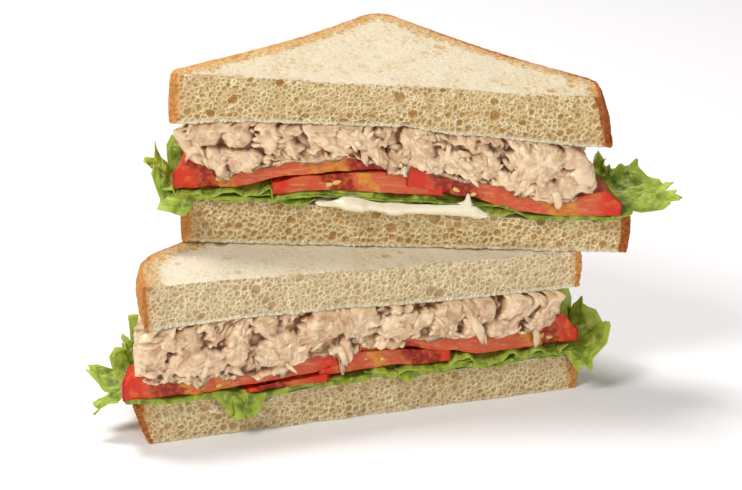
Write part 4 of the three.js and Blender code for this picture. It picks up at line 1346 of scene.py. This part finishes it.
def chicken_salad(name, half, plan, shift, floor, ceiling, salad, material):
    """The salad of one half. Its chunks are x, height, length, width and tilt at the cut face. Its tips are
    x, drop and width where it hangs over the tomato, its gaps are x, width and depth under the slice above,
    and its hanging fingers are x, height, size and tilt."""
    seed = salad["seed"]
    random = np.random.default_rng(seed)
    loop, above, stretch = two_outlines(plan, shift, [SALAD_STEP] + [SIDE_STEP] * 4, 10)
    directions = outward(loop)
    smoothed = sum(np.roll(directions, step, axis=0) for step in range(-5, 6))
    directions = smoothed / np.linalg.norm(smoothed, axis=1, keepdims=True)
    centre = loop.mean(axis=0)
    width = len(loop)
    steps = np.linalg.norm(np.roll(loop, -1, axis=0) - loop, axis=1)
    run = np.concatenate([[0], np.cumsum(steps[:-1])]) + loop[0, 0]
    total_run = run[-1] - run[0]
    front = stretch == 0

    hang = 1.2 + 0.9 * flat_noise(run, 0 * run, 4.5, seed + 5) + 0.7 * flat_noise(run, 0 * run, 1.6, seed + 6)
    for at, drop, wide in salad["tips"]:
        hang += drop * np.exp(-(((run - at) / wide) ** 2))
    hang = np.clip(hang, 0, None) * front
    gap = 0 * run
    for at, wide, deep in salad["gaps"]:
        gap += deep * np.exp(-(((run - at) / wide) ** 4)) * front

    loops = []
    levels = []
    for level in range(SALAD_LEVELS + 1):
        t = level / SALAD_LEVELS
        inset = 0.5 + 1.5 * (2 * t - 1) ** 8
        flat = mix(centre, mix(loop, above, t), 1 - inset / CENTRE_TO_SIDE)
        low = floor(flat[:, 0], flat[:, 1])
        high = ceiling(flat[:, 0], flat[:, 1]) - 0.3
        lip = hang if level else -0.15 * np.ones(width)
        loops.append(np.column_stack([flat, mix(low - lip, high, t)]))
        levels.append(t)
    grid = np.array(loops)
    flakes = []
    for x, height, length, wide, tilt in salad["chunks"]:
        stand, lean, tone = random.uniform(2.3, 3.5), random.uniform(-2.0, 2.0), random.uniform(0.1, 0.6)
        flakes.append((x, height, max(6.5, length * 1.1), wide * 1.15, math.radians(tilt), stand, lean, tone))
    for lengths, shares, number in FLAKE_SIZES:
        for _ in range(number):
            length = random.uniform(*lengths)
            tilt = random.normal(0.35, 0.8)
            place = (random.uniform(run[0], run[0] + total_run), random.uniform(14, 46))
            stand = random.uniform(0.25, 1.0) * min(2.4, 0.5 + 0.22 * length)
            rise = random.uniform(-0.2, 0.5)
            wide = length * random.uniform(*shares)
            lean = random.uniform(-1.3, 1.3)
            tone = random.uniform(0.0, 0.8)
            flakes.append((*place, length, wide, tilt, stand + rise, lean, tone))
    flat_run = np.tile(run, SALAD_LEVELS + 1)
    stand_out, tone, ridge = flaked(flat_run, grid[:, :, 2].ravel(), flakes, seed + 40)
    stand_out = stand_out.reshape(grid.shape[:2]) - 0.7
    t = np.array(levels)[:, None]
    stand_out = stand_out - 2.6 * gap * smooth(t, 0.72, 1)
    ends = smooth(np.minimum(np.arange(SALAD_LEVELS + 1), 3), 0, 2)[:, None] * (1 - smooth(t, 0.97, 1) * 0.7)
    at_front = sum(np.roll(front.astype(float), step) for step in range(-8, 9)) / 17
    forward = (mix(3.0, 1.4, smooth(t, 0, 0.3)) - 1.2 * smooth(t, 0.88, 1)) * at_front
    line = floor(loop[:, 0], loop[:, 1])
    grid[:, :, :2] += directions[None] * (stand_out * ends + forward)[:, :, None]
    hanging = (grid[:, :, 2] < line + 0.15) & (at_front > 0.9)
    grid[:, :, 1] = np.where(hanging, np.minimum(grid[:, :, 1], -2.0), grid[:, :, 1])
    side_count = (SALAD_LEVELS + 1) * width
    points, faces, _, _ = closed_layer(
        list(grid), lambda x, y: floor(x, y) + 0.15, lambda x, y: ceiling(x, y) - 0.3, 3, 3, seed
    )
    rest = np.zeros(len(points) - side_count)
    hollow = (blurred(stand_out, 5) - stand_out).ravel()
    contrast = np.tile(mix(0.45, 1, at_front), SALAD_LEVELS + 1)
    parts = [points]
    marks = {
        "tone": [tone, rest],
        # Painted highlight on fibres and where the relief stands above its surroundings, fainter on the
        # sides.
        "ridge": [np.clip(0.5 * ridge + 0.7 * smooth(-hollow, 0.1, 1.0), 0, 1) * contrast, rest],
        # Painted shade where the relief lies below its surroundings, fainter on the sides.
        "recess_shade": [0.95 * smooth(hollow, 0.1, 1.3) * contrast, rest],
    }

    # Loose shreds that stand out of the cut face, and the fingers that hang over the tomato
    total = len(points)
    front_at = np.flatnonzero(front)
    loose = []
    for _ in range(LOOSE_SHREDS):
        i = random.choice(front_at)
        level = random.integers(6, SALAD_LEVELS - 3)
        size = (random.uniform(3, 6.5), random.uniform(1.2, 2.3), random.uniform(0.9, 1.6))
        loose.append((grid[level, i], size, random.uniform(-80, 80), random.uniform(-30, 30)))
    for x, height, size, tilt in salad["fingers"]:
        loose.append((np.array([x, -3.4, height]), size, tilt, 8))
    for number, (place, size, tilt, turn) in enumerate(loose):
        body, body_faces = shred(*size, seed + 500 + number)
        rotation = np.array(turned(turn, "Z").to_3x3() @ turned(-tilt, "Y").to_3x3())
        body = body @ rotation.T + place
        body[:, 2] = np.minimum(body[:, 2], ceiling(body[:, 0], body[:, 1]) - 0.4)
        parts.append(body)
        # Each shred has its own tone, a faint painted highlight and no painted shade.
        for mark_name, value in {"tone": random.uniform(0.1, 0.9), "ridge": 0.3, "recess_shade": 0.0}.items():
            marks[mark_name].append(np.full(len(body), value))
        faces += [[corner + total for corner in face] for face in body_faces]
        total += len(body)
    marks = {mark_name: np.concatenate(values) for mark_name, values in marks.items()}
    piece(name, half, np.concatenate(parts), faces, material, marks, [name])


chicken = chicken_material()
chicken_salad(
    "lower_chicken", lower_half,
    {"left": (-77, 3, 20, 20), "right": (62, 1, 9, 6), "apex": (-3, 70, 8, 0)}, (1, 6),
    salad_floor(lower_tomatoes, lower_bed), lower_lid_low,
    {
        "seed": 1100,
        "chunks": [
            (-76, 40, 8, 4, 80), (-74, 31, 13, 9, 65), (-64, 34, 13, 7, -10), (-58, 27, 20, 8, 0),
            (-46, 32, 13, 7, 82), (-37, 36, 9, 5, -35), (-30, 28, 18, 10, 5), (-19, 33, 16, 9, 20),
            (-10, 25, 7, 4, -75), (-6, 34, 14, 9, 0), (9, 31, 14, 8, 0), (24, 32, 11, 10, 0),
            (34, 29, 16, 5, -62), (37, 33, 9, 7, -60), (45, 27, 11, 6, -20), (49, 33, 9, 9, 0),
            (56, 24, 8, 3.5, -72), (61, 31, 13, 8, 70),
        ],
        "tips": [(-60, 2.0, 2.2), (-30, 1.2, 3), (-10, 3.0, 1.3), (8, 1.0, 3), (48, 1.5, 2.5)],
        "gaps": [(-27, 4, 0.8), (16, 2.5, 0.9), (42, 2, 0.7)],
        "fingers": [
            (36, 27.5, (14, 3.6, 2.6), -62), (56.5, 22.5, (9, 2.4, 2.0), -78),
            (-10, 23.5, (7, 2.6, 2.2), -70),
        ],
    },
    chicken,
)
chicken_salad(
    "upper_chicken", upper_half,
    {"left": (-70, 1, 6, 5), "right": (60, 1, 14, 9), "apex": (-6, 70, 8, 0)}, (-7, -4),
    salad_floor(upper_tomatoes, upper_bed), upper_lid_low,
    {
        "seed": 2900,
        "chunks": [
            (-72, 34, 15, 8, -70), (-66, 33, 12, 4, -75), (-62, 29, 8, 4, 85), (-61, 38, 11, 6, 25),
            (-52, 38, 10, 6, 30), (-54, 30, 13, 6, 3), (-43, 37, 9, 4, 60), (-37, 36, 10, 5, 75),
            (-23, 37, 12, 8, -35), (-14, 38, 14, 6, -25), (-9, 32, 10, 5, -40), (5, 35, 11, 11, 0),
            (7, 31, 12, 5, -22), (18, 30, 14, 7, -22), (27, 31, 10, 8, -22), (45, 30, 19, 11, 35),
            (35, 24, 12, 5, -25), (46, 21, 9, 6, 0), (57, 33, 7, 6, 60), (59, 27, 7, 7, -60),
            (56, 23, 8, 5, 10),
        ],
        "tips": [
            (-62, 1.6, 2.4), (-40, 0.8, 4), (-10, 1.8, 1.6), (8, 1.0, 3),
            (38, 1.4, 3), (49, 1.8, 2), (60, 1.6, 2),
        ],
        "gaps": [(-64, 3.5, 0.7), (-33, 3.5, 1.0), (-6.5, 2.2, 0.9), (35, 5, 0.5)],
        "fingers": [
            (-10, 31.5, (8, 3.0, 2.4), -55), (-61, 27, (7, 2.6, 2.2), 80),
            (48, 19, (6, 3.2, 2.4), -75),
        ],
    },
    chicken,
)

# Light and camera
# Soft studio light from above and a little from the left, over a plain white table. The camera looks down on
# the stack at 20 degrees.
TABLE_REACH = 3
TABLE_COLOUR = (0.97, 0.95, 0.95, 1)
TABLE_ROUGHNESS = 0.9
ROOM_LIGHT = 0.26
CAMERA_HEIGHT_ANGLE = 20
CAMERA_DISTANCE = 650
CAMERA_LENS = 99.12
AIM = (0.41 - STACK_MIDDLE[0], -STACK_MIDDLE[1], 59.5)

table_mesh = bpy.data.meshes.new("table")
table_corners = [(x * TABLE_REACH, y * TABLE_REACH, 0) for x, y in ((-1, -1), (1, -1), (1, 1), (-1, 1))]
table_mesh.from_pydata(table_corners, [], [(0, 1, 2, 3)])
table = bpy.data.objects.new("table", table_mesh)
bpy.context.collection.objects.link(table)
table_finish = bpy.data.materials.new("white table")
table_finish.use_nodes = True
table_shader = table_finish.node_tree.nodes["Principled BSDF"]
table_shader.inputs["Base Color"].default_value = TABLE_COLOUR
table_shader.inputs["Roughness"].default_value = TABLE_ROUGHNESS
table_mesh.materials.append(table_finish)


def soft_light(name, place, size, power):
    """A square soft light that faces the table under the middle of the stack."""
    data = bpy.data.lights.new(name, "AREA")
    data.size = size
    data.energy = power
    lamp = bpy.data.objects.new(name, data)
    bpy.context.collection.objects.link(lamp)
    lamp.location = place
    lamp.rotation_euler = (-lamp.location).to_track_quat("-Z", "Y").to_euler()


soft_light("overhead", (-0.5, 0.42, 1.5), 0.5, 17)
soft_light("front left", (-0.8, -0.8, 1.2), 0.5, 12.5)
soft_light("front", (0.6, -1.6, 0.7), 0.8, 6)

world = bpy.data.worlds.new("studio")
world.use_nodes = True
world.node_tree.nodes["Background"].inputs["Color"].default_value = (1, 1, 1, 1)
world.node_tree.nodes["Background"].inputs["Strength"].default_value = ROOM_LIGHT
bpy.context.scene.world = world
bpy.context.scene.view_settings.view_transform = "Standard"

angle = math.radians(CAMERA_HEIGHT_ANGLE)
camera_data = bpy.data.cameras.new("camera")
camera_data.lens = CAMERA_LENS
camera = bpy.data.objects.new("camera", camera_data)
bpy.context.collection.objects.link(camera)
camera.location = (
    AIM[0] * MILLIMETRE,
    (AIM[1] - CAMERA_DISTANCE * math.cos(angle)) * MILLIMETRE,
    (AIM[2] + CAMERA_DISTANCE * math.sin(angle)) * MILLIMETRE,
)
camera.rotation_euler = (math.radians(90 - CAMERA_HEIGHT_ANGLE), 0, 0)
bpy.context.scene.camera = camera
